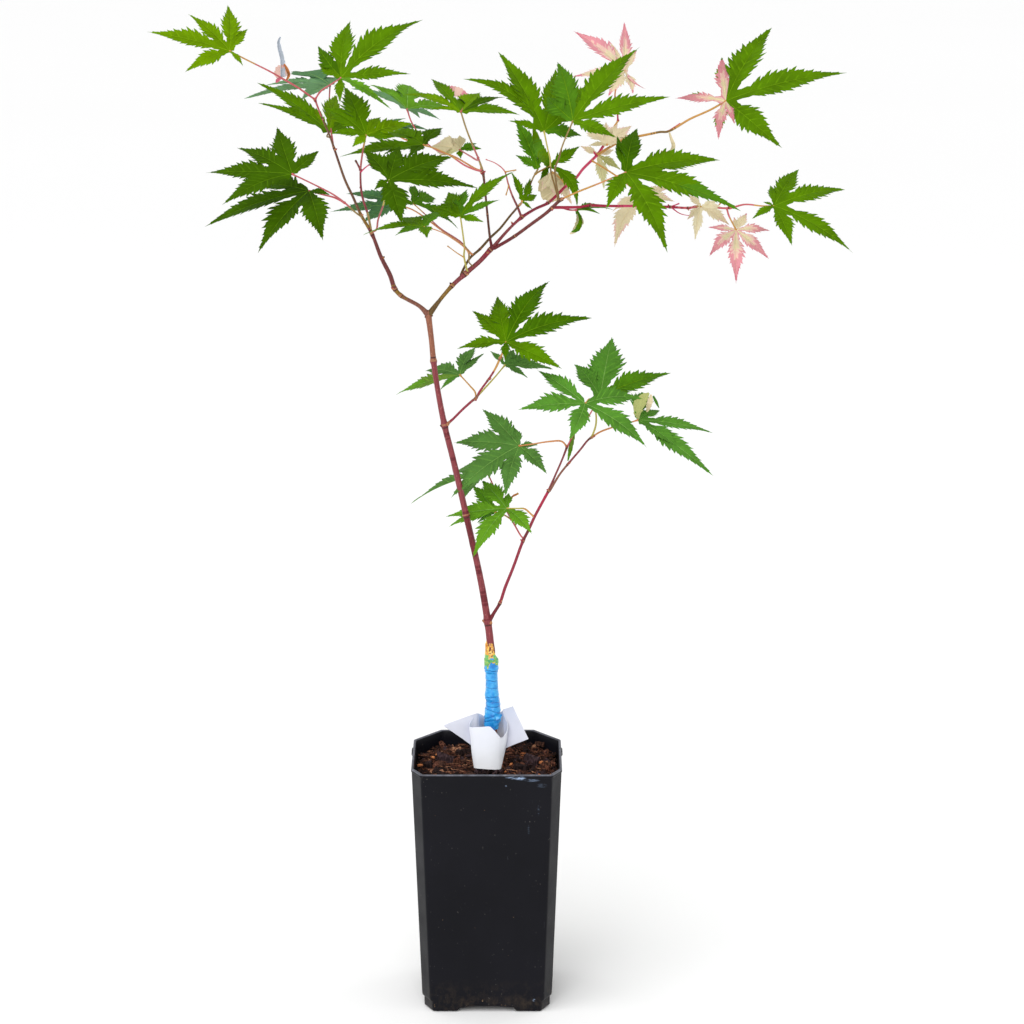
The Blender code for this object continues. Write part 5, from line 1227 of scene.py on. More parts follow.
# ------------------------------------------------------------------ loose curled bits among the leaves
def grow_curls():
    bag = Bag("curled_leaves", "leaf_pink")
    # a rolled leaf, grey where its back shows, on the crown's far left
    blade_strip(bag, [at(281, 77, 50.5), at(280.5, 60, 55), at(278, 49, 57), at(277.5, 42, 58), at(280, 36.5, 58)], [2.2, 2.0, 1.8, 1.6, 0.5],
                (0.75, -0.6, 0.2), ["grey_leaf"], fold=0.9, teeth=5, low="grey_leaf", seed="grey")
    blade_strip(bag, [at(279.5, 79, 50), at(279.5, 75, 52), at(283, 70, 53), at(287, 67, 54)], [1.2, 3.8, 4.2, 0.7],
                (0.1, -0.9, 0.35), ["blush", "blush", "blush", "pink"], fold=0.25, teeth=7, low="blush", seed="g2")
    blade_strip(bag, [at(284, 64, 51), at(287, 70, 50), at(288.5, 75, 50), at(286, 81, 50)], [0.5, 1.1, 1.0, 0.4], (0.5, -0.8, 0.2), ["scorch"], fold=0.4, seed="g3")
    blade_strip(bag, [at(281, 78, 49), at(278, 80, 48), at(276, 82.5, 49)], [0.5, 1.3, 0.3], (0.1, -1, 0.2), ["pink_deep"], fold=0.5, seed="g4")
    # a cream curl on the long right twig
    blade_strip(bag, [at(669, 132, 39), at(671, 139, 37), at(673, 146, 35), at(671, 151, 35), at(666, 153, 37), at(661, 151, 40)], [0.5, 0.9, 1.3, 1.3, 1.0, 0.2],
                (0.4, -0.9, 0.1), ["cream", "cream_shade", "stalk_tan"], fold=0.5, seed="c1")
    # cream backs of curled lobes
    blade_strip(bag, [at(638.5, 419, -20), at(638, 412, -16), at(640, 404, -14), at(645, 397, -13), at(649, 393, -13)], [0.7, 2.6, 3.6, 3.0, 0.6], (-0.2, -0.95, 0.3),
                ["ivory_green"], fold=0.45, teeth=3, low="ivory_green", seed="c2")
    blade_strip(bag, [at(647, 412, -19), at(648.5, 406, -19), at(650, 400, -18), at(651, 394.5, -17)], [0.5, 1.7, 1.9, 0.5], (0.3, -0.95, 0.2),
                ["cream_shade", "cream"], fold=0.3, teeth=5, low="cream_shade", seed="c2b")
    blade_strip(bag, [at(653, 396, -12), at(656, 402, -10), at(659, 408, -8)], [0.6, 1.0, 0.2], (0.3, -0.9, 0.2), ["leaf_soft"], fold=0.4, seed="c2c")
    blade_strip(bag, [at(578, 213, -10), at(579, 222, -7), at(575, 230, -5), at(570, 234, -4)], [0.8, 2.6, 2.0, 0.3], (0.2, -0.95, 0.1), ["cream_shade", "cream"],
                fold=0.4, teeth=4, low="cream_shade", seed="c3")
    blade_strip(bag, [at(552, 172.5, 44), at(547, 184, 46), at(550, 195, 48), at(560, 200, 49)], [1.0, 5.5, 5.0, 0.5], (-0.1, -0.95, 0.3), ["cream", "cream_shade", "cream"],
                fold=0.2, teeth=6, low="cream_shade", seed="c4")
    # pink and cream behind the centre
    blade_strip(bag, [at(468, 97.5, 68), at(460, 93.5, 70), at(451, 90.5, 72), at(440.5, 87, 74)], [1.5, 3.5, 2.9, 0.3], (-0.1, -0.8, 0.6), ["pink", "blush", "pink", "pink"],
                fold=0.25, teeth=9, low="pink", seed="p1")
    blade_strip(bag, [at(518, 494, 22), at(515, 495, 21), at(511, 497, 20)], [0.3, 0.8, 0.15], (0, -1, 0.3), ["scorch"], fold=0.4, seed="p2")
    bag.build()
    bag = Bag("curled_green_lobes", "leaf_green")
    # lobes rolled into long quills
    blade_strip(bag, [at(547.5, 167, 22), at(544, 160, 13), at(538, 151, 6), at(535, 140, 4), at(533, 125, 4)], [1.6, 3.6, 4.2, 3.2, 0.3], (0.5, -0.8, 0.3),
                ["leaf_mid", "leaf_sun", "leaf_fresh", "leaf_sun"], fold=0.55, teeth=8, low="under_green", seed="q1")
    blade_strip(bag, [at(575, 431, 5), at(573, 440, 2), at(571, 450, 1), at(568, 461, 2)], [0.8, 1.7, 1.4, 0.3], (-0.5, -0.8, 0.2), ["leaf_pale", "leaf_fresh"],
                fold=0.7, teeth=6, low="under_green", seed="q2")
    blade_strip(bag, [at(577, 209.5, -12), at(580.5, 216, -10), at(581, 223, -8), at(578, 229.5, -7), at(571.5, 232, -7)], [1.2, 2.4, 2.6, 1.9, 0.3], (-0.75, -0.65, 0.1),
                ["leaf_cool", "leaf_mid", "leaf_cool"], fold=0.5, teeth=6, low="under_green", seed="q4")
    bag.build()


# ------------------------------------------------------------------ the graft's tape and wax
def wrap_graft():
    n = Nodes("tape_blue")
    # The noise runs through four blues; the palest stop (156, 206, 234) is partly tone that varies at random across the
    # tape and partly painted highlight.
    patches = n.noise(n.mapped((1, 1, 1.4)), 210, 3.0, 0.6)
    colour = n.ramp(patches, [(0.28, lin((6, 108, 186))), (0.48, lin((22, 142, 214))), (0.66, lin((62, 168, 226))), (0.80, lin((156, 206, 234)))])
    fine = n.noise(n.mapped((1, 1, 2)), 700, 2.0, 0.5)
    SKINS["tape"] = n.done(colour, 0.30, 0.45, n.bump(fine, 0.25, 0.0003), coat=0.3)
    # Painted shade: a darker blue laid along the creases at each turn's edge, on the tape's bottom end and on the lower
    # half of its tail.
    n = Nodes("tape_painted_shade")
    colour = n.ramp(n.noise(n.mapped(), 500, 2.0), [(0.35, lin((14, 84, 160))), (0.65, lin((28, 116, 196)))])
    SKINS["tape_painted_shade"] = n.done(colour, 0.4, 0.5, n.bump(n.noise(n.mapped(), 1500, 2.0), 0.3, 0.0002))
    for name, a, b in (("wax_yellow", (208, 156, 44), (238, 196, 92)), ("wax_green", (84, 164, 82), (146, 190, 82)), ("wax_orange", (186, 118, 30), (226, 162, 46)),
                       ("wax_teal", (34, 140, 110), (78, 168, 110)), ("wax_pale", (206, 188, 130), (228, 214, 164)), ("wax_brown", (106, 62, 44), (140, 88, 58))):
        n = Nodes(name)
        colour = n.ramp(n.noise(n.mapped(), 420, 3.0), [(0.35, lin(a)), (0.65, lin(b))])
        SKINS[name] = n.done(colour, 0.38, 0.5, n.bump(n.noise(n.mapped(), 1300, 3.0), 0.6, 0.0003), coat=0.2, subsurface=0.15)
    bag = Bag("graft_tape_and_wax", "graft_wrap", ["graft_wrap"])
    # the stretched turns: its outline up the stem, pinched in at each turn's edge, with slanting folds at its foot
    shape = [(728, 491.6, 4.35), (724, 491.9, 4.75), (719, 492.6, 5.05), (713, 492.6, 5.0), (708.2, 492.6, 4.85), (707, 493.0, 4.6), (703, 493.0, 4.5), (699.2, 492.7, 4.32),
             (697.6, 492.0, 4.45), (694.5, 491.9, 4.36), (692.4, 491.8, 4.25), (689, 491.9, 3.98), (685, 491.8, 3.84), (681.6, 491.8, 3.78), (677.5, 491.6, 3.8), (672.4, 491.5, 3.78),
             (670.8, 491.3, 4.3), (668, 491.4, 4.45), (665.5, 491.5, 4.3), (663, 491.4, 4.1), (659, 491.3, 4.0)]
    t_z = np.array([at(u, v, 0)[2] for v, u, _ in shape])
    t_x = np.array([at(u, v, 0)[0] for v, u, _ in shape])
    t_r = np.array([w for _, _, w in shape])
    z0, z1 = float(t_z[0]), float(t_z[-1])
    sides, rows = 64, 230
    r = rng_of("tape")
    # each turn's edge: place up the picture, depth of its crease, slant across the front (mm, + down to the right)
    turns = [(671.6, 0.26, 0.25), (665.2, 0.10, -0.3), (681.7, 0.20, 0.15), (688.9, 0.13, 0.3), (697.9, 0.26, -0.35), (702.6, 0.15, 0.3), (707.4, 0.22, 0.25),
             (711.5, 0.16, 1.5), (716.5, 0.22, -2.0), (720.6, 0.18, -1.4), (691.5, 0.07, -0.2)]
    turns = [(at(491.5, v, -4)[2], h, slant) for v, h, slant in turns]
    ph = [r.uniform(0, 6.3) for _ in range(6)]
    grid = []
    crease_shade = []
    for i in range(rows):
        z = z0 + (z1 - z0) * i / (rows - 1)
        base = float(np.interp(z, t_z, t_r))
        cx = float(np.interp(z, t_z, t_x))
        foot = max(0.0, min(1.0, (z0 + 14.0 - z) / 5.0))
        row, hot = [], []
        for k in range(sides):
            a = 2 * math.pi * k / sides
            dent, near = 0.0, 9.0
            for fz, h, slant in turns:
                dz = z - (fz - slant * math.cos(a) + 0.10 * math.sin(3 * a + fz) + 0.05 * math.sin(7 * a + fz))
                dent -= h * (math.exp(-(dz / 0.42) ** 2) - 0.45 * math.exp(-((dz - 1.1) / 0.8) ** 2))
                if h > 0.12:
                    near = min(near, abs(dz))
            nz = noise.noise(Vector((math.cos(a) * 1.1, math.sin(a) * 1.1, z * 0.22))) * 0.16
            nz += foot * 0.5 * noise.noise(Vector((math.cos(a) * 1.6 + 2, math.sin(a) * 1.6, z * 0.42)))
            tiny = 0.05 * noise.noise(Vector((math.cos(a) * 6, math.sin(a) * 6, z * 0.9)))
            rad = base + dent + nz + tiny
            row.append((cx + rad * math.cos(a), rad * math.sin(a), z))
            hot.append(near < 0.17)
        grid.append(row)
        crease_shade.append(hot)
    idx = np.array(bag.points(np.array(grid))).reshape(rows, sides)
    # faces close to a deep crease take the darker painted-shade blue
    for i in range(rows - 1):
        for k in range(sides):
            k2 = (k + 1) % sides
            bag.face((idx[i][k], idx[i][k2], idx[i + 1][k2], idx[i + 1][k]), "tape_painted_shade" if crease_shade[i][k] else "tape")
    for i, z, mat in ((0, z0, "tape_painted_shade"), (rows - 1, z1, "tape")):
        inner = bag.points([(2.8 + 2.2 * math.cos(2 * math.pi * k / sides), 2.2 * math.sin(2 * math.pi * k / sides), z + (0.3 if i else -0.3)) for k in range(sides)])
        for k in range(sides):
            k2 = (k + 1) % sides
            q = (idx[i][k], inner[k], inner[k2], idx[i][k2]) if i == 0 else (idx[i][k], idx[i][k2], inner[k2], inner[k])
            bag.face(q, mat)
        bag.face(inner[::-1] if i == 0 else inner, mat)
    # the tape's loose corner low on the right, and the tongue that stands up in the wax
    blade_strip(bag, [at(495.5, 717, -4.6), at(498.4, 716.2, -4.5), at(501.8, 714.8, -3.4)], [2.0, 1.6, 0.25], (0.25, -0.95, 0.2), ["tape"], fold=0.35, seed="flap", thick=0.12)
    blade_strip(bag, [at(491, 671, -3.9), at(491.6, 665, -4.1), at(492.2, 658.5, -3.9)], [2.9, 2.4, 1.1], (0.0, -1, 0.1), ["tape"], fold=-0.3, seed="tongue", thick=0.14)
    blade_strip(bag, [at(489, 722, -4), at(491, 728, -4.6), at(494, 733, -5)], [3.4, 2.8, 0.8], (0.0, -1, 0.2), ["tape", "tape_painted_shade"], fold=-0.15, seed="tail", thick=0.15)
    # wax: a skin over the tape's top and the scion's foot that shows only where it is thick
    sides, rows = 60, 110
    rise = 2.4
    zs = np.linspace(207.4, 227.5, rows)
    grid, thick = [], []
    for z in zs:
        row, trow = [], []
        stem = float(np.interp(z + rise, t_z, t_r)) if z + rise < z1 else float(np.interp(z + rise, [z1, z1 + 0.7, 216 + rise, 221 + rise, 228 + rise], [4.0, 3.3, 3.0, 2.45, 2.2]))
        cx = float(np.interp(z + rise, t_z, t_x)) if z + rise < z1 else float(np.interp(z + rise, [z1, 213 + rise, 221 + rise, 228 + rise], [float(t_x[-1]), 2.6, 2.15, 1.7]))
        for k in range(sides):
            a = 2 * math.pi * k / sides
            left = max(0.0, math.cos(a - math.pi * 1.06)) ** 1.5
            nz = noise.noise(Vector((math.cos(a) * 1.7 + 3, math.sin(a) * 1.7, z * 0.36))) + 0.5 * noise.noise(Vector((math.cos(a) * 4.2, math.sin(a) * 4.2 + 5, z * 0.8)))
            # full round the tape's end, ragged lower down, and one strip up the left
            wide = abs(math.cos(a)) ** 0.7
            around = math.exp(-((z - 213.2) / 3.1) ** 2) * 1.35 if z > 213.2 else math.exp(-((z - 213.2) / (0.7 + 2.8 * wide)) ** 2) * 1.35
            strip = left * (1.0 if z < 222 else max(0.0, 1 - (z - 222) / 5.0)) * (1.3 if z > 212 else 0.0)
            spots = 0.62 * (1 if 216 < z < 224 else 0) * max(0.0, -math.sin(a)) if z > 212 else 0.0
            t = max(around, strip, spots) + 0.80 * nz - 0.42
            rad = stem + min(max(t, -0.5), 0.85) * (0.85 if z + rise > z1 else 0.5)
            row.append((cx + rad * math.cos(a), rad * math.sin(a), z + rise))
            trow.append(nz)
        grid.append(row)
        thick.append(trow)
    idx = np.array(bag.points(np.array(grid))).reshape(rows, sides)
    for i in range(rows - 1):
        for k in range(sides):
            k2 = (k + 1) % sides
            a = 2 * math.pi * k / sides
            q = noise.noise(Vector((math.cos(a) * 1.5 + 9, math.sin(a) * 1.5, zs[i] * 0.30)))
            speck = noise.noise(Vector((math.cos(a) * 5 + 1, math.sin(a) * 5, zs[i] * 1.1)))
            if zs[i] < 216.8 and ((abs(math.cos(a)) > 0.42 and q > -0.30) or q > 0.22):
                m = "wax_teal" if speck > 0.28 else "wax_green"
            elif abs(math.cos(a)) < 0.5 and speck < -0.06 and zs[i] > 213:
                m = "wax_pale" if speck > -0.20 else "wax_brown"
            else:
                m = "wax_orange" if q < -0.05 and zs[i] > 216 else "wax_yellow"
            bag.face((idx[i][k], idx[i][k2], idx[i + 1][k2], idx[i + 1][k]), m)
    low = bag.points([(2.8, 0, 207.2 + rise)])[0]
    top = bag.points([(1.7, 0, 227.8 + rise)])[0]
    for k in range(sides):
        k2 = (k + 1) % sides
        bag.face((idx[0][k2], idx[0][k], low), "wax_yellow")
        bag.face((idx[-1][k], idx[-1][k2], top), "wax_yellow")
    bag.build(40)


# ------------------------------------------------------------------ potting mix
def fill_pot():
    looks = {"mix_brown": ((90, 60, 49), (20, 12, 10)), "mix_red": ((122, 77, 60), (38, 21, 17)), "mix_dark": ((52, 38, 37), (11, 7, 7)), "mix_gap": ((12, 7, 7), (4, 2, 2)),
             "mix_tan": ((190, 138, 106), (88, 54, 40)), "mix_char": ((78, 60, 63), (28, 20, 22)), "mix_orange": ((222, 142, 92), (146, 84, 50))}
    for name, (a, b) in looks.items():
        n = Nodes(name)
        grain = n.noise(n.mapped((1, 1, 0.35), rot=(0.5, 0.4, 0)), 900, 4.0, 0.65)
        colour = n.ramp(grain, [(0.38, lin(b)), (0.62, lin(a))])
        SKINS[name] = n.done(colour, 0.85, 0.07, n.bump(n.noise(n.mapped(), 1600, 4.0, 0.7), 0.8, 0.0006))
    r = rng_of("mix")
    bag = Bag("potting_mix_bed", "potting_mix", ["potting_mix"])
    # the bed: a lumpy surface out to the pot's wall, closed underneath; its faces are mostly near black, as painted
    # shade in the gaps between the chips
    n_r, n_a = 30, 96
    grid = []

    def wall(a, half):
        fx, fy, bx, by = 6.2 * half / 46, 12.0 * half / 46, 16.5 * half / 46, 21.0 * half / 46
        ca, sa = math.cos(a), math.sin(a)
        d = 1e9
        for nx, ny, off in ((1, 0, half), (-1, 0, half), (0, 1, half), (0, -1, half)):
            q = nx * ca + ny * sa
            if q > 1e-6:
                d = min(d, off / q)
        for (x0, y0), (x1, y1) in (((half - fx, -half), (half, -half + fy)), ((half, half - by), (half - bx, half)), ((-half + bx, half), (-half, half - by)),
                                   ((-half, -half + fy), (-half + fx, -half))):
            nx, ny = y1 - y0, x0 - x1
            m = math.hypot(nx, ny)
            nx, ny = nx / m, ny / m
            q = nx * ca + ny * sa
            off = nx * x0 + ny * y0
            if q > 1e-6 and off > 0:
                d = min(d, off / q)
        return d
    for i in range(n_r):
        row = []
        for k in range(n_a):
            a = 2 * math.pi * k / n_a
            d = (wall(a, 44.1) - 0.2) * (i + 1) / n_r
            x, y = d * math.cos(a), d * math.sin(a)
            h = 144.2 + 2.0 * noise.noise(Vector((x * 0.09, y * 0.09, 1.7))) + 1.3 * noise.noise(Vector((x * 0.3, y * 0.3, 4.2))) + 0.5 * noise.noise(Vector((x * 0.9, y * 0.9, 8.0)))
            row.append((x, y, h))
        grid.append(row)
    idx = np.array(bag.points(np.array(grid))).reshape(n_r, n_a)
    mid = bag.points([(0, 0, 145.6)])[0]
    skirt = bag.points([(x, y, 136.0) for x, y, _ in grid[-1]])
    foot = bag.points([(0, 0, 136.0)])[0]
    for k in range(n_a):
        k2 = (k + 1) % n_a
        bag.face((mid, idx[0][k], idx[0][k2]), "mix_brown")
        for i in range(n_r - 1):
            # most bed faces take the near-black painted shade, the rest the mix's own dark and brown tones
            m = r.choices(("mix_gap", "mix_dark", "mix_brown"), (8, 2, 0.6))[0]
            bag.face((idx[i][k], idx[i + 1][k], idx[i + 1][k2], idx[i][k2]), m)
        bag.face((idx[-1][k], skirt[k], skirt[k2], idx[-1][k2]), "mix_dark")
        bag.face((skirt[k], foot, skirt[k2]), "mix_dark")
    bag.build(35)

    bag = Bag("bark_chips", "potting_mix")

    def chip(c, size, flat, mat, turn=None, tall=0.0):
        """An angular shard: a rough box whose corners have been pushed about."""
        a = r.uniform(0, 6.3) if turn is None else turn
        tip = np.array([r.uniform(-0.8, 0.8), r.uniform(-0.8, 0.8), 1.0 + tall])
        up = unit(tip)
        ax = unit(np.array([math.cos(a), math.sin(a), r.uniform(-0.35, 0.35)]))
        ax = unit(ax - up * (ax @ up))
        bx = np.cross(up, ax)
        l, w, h = size, size * r.uniform(0.35, 0.75), size * flat
        pts = []
        for i, sx in enumerate((-1, -0.25, 0.4, 1)):
            wide = (0.62, 1.0, 0.92, 0.5)[i] * r.uniform(0.8, 1.15)
            skew = r.uniform(-0.18, 0.18)
            for sy, sz in ((-1, -1), (1, -1), (1.0, 0.5), (0.25, 1.0), (-0.9, 0.7)):
                pts.append(c + ax * (sx * l * 0.5 * r.uniform(0.9, 1.08)) + bx * ((sy * wide + skew) * w * 0.5 * r.uniform(0.85, 1.1)) + up * (sz * h * 0.5 * r.uniform(0.75, 1.15)))
        ids = bag.points(pts)
        for i in range(3):
            for k in range(5):
                k2 = (k + 1) % 5
                bag.face((ids[i * 5 + k], ids[i * 5 + k2], ids[i * 5 + 5 + k2], ids[i * 5 + 5 + k])[::-1], mat)
        bag.face(ids[:5], mat)
        bag.face(ids[15:][::-1], mat)

    def shred(c, length, mat):
        a = r.uniform(0, 6.3)
        d = np.array([math.cos(a), math.sin(a), r.uniform(-0.15, 0.25)])
        bend = np.array([-math.sin(a), math.cos(a), 0]) * r.uniform(-0.25, 0.25) * length
        pts = [c - d * length / 2, c + bend + np.array([0, 0, 0.3]), c + d * length / 2]
        path, _ = smooth_path(pts, 1.2)
        w = r.uniform(0.18, 0.42)
        tube(bag, path, np.full(len(path), w) * np.linspace(1, 0.5, len(path)), [mat] * len(path), sides=5, relief=0.0, seed="shred")
    lab0, lab1 = at(476, 768, -12.6)[0], at(501, 769, -11)[0]
    count = 0
    while count < 1250:
        x, y = r.uniform(-43, 43), r.uniform(-43, 43)
        a = math.atan2(y, x)
        room = wall(a, 44.1) - math.hypot(x, y)
        if room < 0.8:
            continue
        if math.hypot(x - 2, y) < 5.2:
            continue
        big = r.random()
        by_label = lab0 - 3 < x < lab1 + 3 and -21 < y < -9
        size = 2.2 + 5.0 * big ** 2.0 + (4.5 if r.random() < 0.10 else 0)
        size = min(size, 1.25 * room)
        z = 145.6 + 2.0 * noise.noise(Vector((x * 0.09, y * 0.09, 1.7))) + r.uniform(-0.8, 1.6)
        mat = r.choices(("mix_brown", "mix_red", "mix_dark", "mix_tan", "mix_char", "mix_orange"), (26, 17, 32, 6, 20, 1.4))[0]
        if by_label:
            size, z = min(size, 3.6), min(z, 144.6)
        chip(np.array([x, y, min(z, 148.6)]), size, r.uniform(0.25, 0.55), mat)
        count += 1
    for _ in range(900):
        x, y = r.uniform(-41, 41), r.uniform(-41, 41)
        if wall(math.atan2(y, x), 44.1) - math.hypot(x, y) < 4.5 or math.hypot(x - 2, y) < 8 or (lab0 - 5 < x < lab1 + 5 and -22 < y < -8):
            continue
        shred(np.array([x, y, 147.4 + r.uniform(-0.3, 1.0)]), min(r.uniform(3.5, 11), 1.3 * (wall(math.atan2(y, x), 44.1) - math.hypot(x, y))), r.choices(("mix_tan", "mix_red", "mix_brown", "mix_dark"), (1.6, 5, 5, 2))[0])
    # the chips that the label's foot stands on, all in dark tones: real dark chips, which also serve as painted shade
    # under the foot
    for k in range(10):
        chip(np.array([lab0 + (lab1 - lab0) * (k + 0.5) / 10, -13.4 + r.uniform(-0.5, 0.9), 147.5]), r.uniform(4.4, 5.4), 0.62, r.choice(("mix_dark", "mix_char", "mix_dark")))
    # the lumps that stand out
    for u, v, size, flat, mat in ((446, 759, 12, 0.62, "mix_char"), (532, 760, 11, 0.6, "mix_char"), (521, 768, 9.5, 0.6, "mix_dark"), (442, 745, 8, 0.5, "mix_red"),
                                  (433, 757, 2.6, 0.4, "mix_orange"), (437, 754.5, 2.2, 0.35, "mix_orange"), (541, 762, 3.6, 0.4, "mix_orange"), (420, 765, 3.4, 0.4, "mix_orange"),
                                  (511, 764, 2.4, 0.4, "mix_orange"), (428, 765, 7, 0.5, "mix_dark"), (461, 752, 7, 0.5, "mix_dark"), (548, 768, 6, 0.5, "mix_red"),
                                  (436, 766, 6, 0.45, "mix_red"), (540, 744, 7, 0.45, "mix_brown"), (526, 751, 6, 0.45, "mix_dark"), (455, 760, 6, 0.5, "mix_red")):
        d = ray(u, v)
        p = EYE + d * ((149.2 - EYE[2]) / d[2])
        chip(p, size, flat, mat, tall=1.5)
    bag.build(25)


# ------------------------------------------------------------------ the bare plant label, curled round the stem's foot
def hang_label():
    n = Nodes("label_film")
    soft = n.noise(n.mapped(), 45, 2.0)
    colour = n.ramp(soft, [(0.3, lin((246, 249, 255))), (0.7, lin((250, 252, 255)))])
    # Painted shade: the film's colour darkens with height, from its own white at z 150 mm to grey-blue (224, 227, 238)
    # at z 177 mm.
    xyz = n.node("ShaderNodeSeparateXYZ")
    n.link(n.coord, xyz.inputs["Vector"])
    rise = n.node("ShaderNodeMapRange")
    rise.inputs["From Min"].default_value = 0.150
    rise.inputs["From Max"].default_value = 0.177
    n.link(xyz.outputs["Z"], rise.inputs["Value"])
    colour = n.mix(rise.outputs["Result"], colour, lin((224, 227, 238)))
    SKINS["film"] = n.done(colour, 0.42, 0.45, n.bump(n.noise(n.mapped((1, 1, 1)), 160, 3.0, 0.5), 0.25, 0.0006), coat=0.08)
    # Painted shade: a darker grey-blue copy of the film, used where the sheet's back turns outwards.
    n = Nodes("label_film_painted_shade")
    soft = n.noise(n.mapped(), 60, 2.0)
    colour = n.ramp(soft, [(0.3, lin((200, 202, 215))), (0.7, lin((211, 213, 225)))])
    SKINS["film_painted_shade"] = n.done(colour, 0.5, 0.3, n.bump(n.noise(n.mapped((1, 1, 1)), 160, 3.0, 0.5), 0.3, 0.0006))
    bag = Bag("label_sheet", "label", ["label"])
    # each column of the sheet: its lower end and its upper end, as picture place and depth
    front = [((444.2, 726.6, -12.0), (444.4, 724.9, -11.8)), ((452, 731.6, -12.0), (453, 721.5, -9.8)), ((462, 738.4, -11.4), (464, 717.6, -7.0)),
            ((470, 744.4, -10.4), (473, 714.4, -4.2)), ((474, 748, -9.4), (477.4, 713.2, -2.2)), ((476.5, 752, -8.2), (479, 714.0, -0.8)), ((476.8, 756, -7.8), (477, 715.6, -2.0)),
            ((475, 761, -8.8), (472.6, 718.6, -5.4)), ((473.9, 765.4, -10.8), (469.8, 722.6, -8.6)), ((474, 767.8, -13.0), (469.2, 726.8, -11.2)), ((476.5, 768.4, -14.6), (472.6, 727.3, -12.2)),
            ((483, 769.0, -15.4), (480.5, 726.9, -12.6)), ((490, 769.4, -15.3), (488.4, 726.4, -12.4)), ((492, 769.5, -15.2), (490.6, 726.9, -12.2)), ((496, 769.6, -14.4), (495.2, 731.4, -12.0)),
            ((499, 769.6, -13.4), (499.0, 736.0, -11.4)), ((500.6, 769.2, -12.2), (501.0, 737.9, -10.6)), ((502.0, 763.4, -10.6), (503.6, 737.0, -9.2)), ((503.8, 755.5, -9.0), (506.6, 732.4, -7.2)),
            ((505.2, 749.6, -7.4), (508.0, 727.6, -4.4)), ((505.4, 748.4, -6.2), (507.2, 722.0, -1.0)), ((505.0, 748.4, -5.4), (504.2, 715.6, 2.2)), ((505.0, 748.2, -4.8), (502.4, 710.6, 3.8)),
            ((507, 747.6, -4.6), (503.0, 709.4, 4.4)), ((514, 744.6, -5.2), (507.4, 708.0, 4.6)), ((521.4, 741.8, -6.2), (510.6, 707.0, 4.0)), ((528.6, 739.0, -7.2), (512.9, 706.2, 3.2))]
    behind = [((475.6, 747, -8.4), (477.6, 713.4, -1.6)), ((477.5, 748, -5.2), (479.6, 713.7, 0.6)), ((479.6, 749, -1.4), (481.4, 714.6, 3.0)), ((482.5, 749, 2.8), (483.8, 716.0, 5.4)),
              ((487, 749, 5.6), (487.4, 717.4, 7.2)), ((492, 749, 6.6), (492, 717.4, 8.0)), ((497, 748.6, 6.6), (496.6, 715.6, 7.6)), ((500.6, 748.2, 6.2), (499.8, 713.0, 7.0)),
              ((503.6, 747.8, 5.2), (502.0, 711.2, 6.2)), ((506.8, 747.8, 4.4), (504.4, 710.4, 5.4))]
    roll_sheet(bag, front, 7, 20)
    roll_sheet(bag, behind, 0, 9)
    bag.build(60)


def roll_sheet(bag, cols, first, last):
    """A thin sheet through the given columns; its face turns outwards between the columns first and last and takes the
    white film, and elsewhere its back shows in a darker copy of the film, as painted shade.
    """
    n_c = len(cols)
    flat = np.array([np.concatenate([at(*lo_), at(*up_)]) for lo_, up_ in cols])
    rows = 24
    along = []
    for i in range(n_c - 1):     # straight lines between columns keep the sheet's cut corners; the curls have close columns
        for k in range(4):
            along.append(flat[i] + (flat[i + 1] - flat[i]) * k / 4)
    along.append(flat[-1])
    along = np.array(along)
    soft_cols = along.copy()
    for _ in range(3):
        soft_cols[1:-1] = 0.25 * soft_cols[:-2] + 0.5 * soft_cols[1:-1] + 0.25 * soft_cols[2:]
    along[:, 1] = soft_cols[:, 1]
    along[:, 4] = soft_cols[:, 4]
    n_p = len(along)
    grid = np.zeros((2, n_p, rows + 1, 3))
    mid_line = 0.5 * (along[:, :3] + along[:, 3:])
    tang = np.gradient(mid_line, axis=0)
    for i in range(n_p):
        lo_, up_ = along[i, :3], along[i, 3:]
        side = unit(np.cross(tang[i], up_ - lo_))
        for k in range(rows + 1):
            v = k / rows
            p = lo_ + (up_ - lo_) * v
            swell = 0.35 * math.sin(v * 3.1 + 0.2) + 0.12 * math.sin(v * 9 + i * 0.13)
            for j, t in ((0, 0.13), (1, -0.13)):
                grid[j, i, k] = p + side * (t + swell * 0.6)
    a = np.array(bag.points(grid[0])).reshape(n_p, rows + 1)
    b = np.array(bag.points(grid[1])).reshape(n_p, rows + 1)
    for i in range(n_p - 1):
        # outside the columns first to last, both sides take the darker painted-shade copy of the film
        m = "film" if first <= i / 4 < last else "film_painted_shade"
        for k in range(rows):
            bag.face((a[i][k], a[i + 1][k], a[i + 1][k + 1], a[i][k + 1]), m)
            bag.face((b[i][k], b[i][k + 1], b[i + 1][k + 1], b[i + 1][k]), m)
        bag.face((a[i][0], b[i][0], b[i + 1][0], a[i + 1][0]), "film")
        bag.face((a[i][rows], a[i + 1][rows], b[i + 1][rows], b[i][rows]), "film")
    for i, flip in ((0, True), (n_p - 1, False)):
        for k in range(rows):
            q = (a[i][k], b[i][k], b[i][k + 1], a[i][k + 1])
            bag.face(q[::-1] if flip else q, "film")


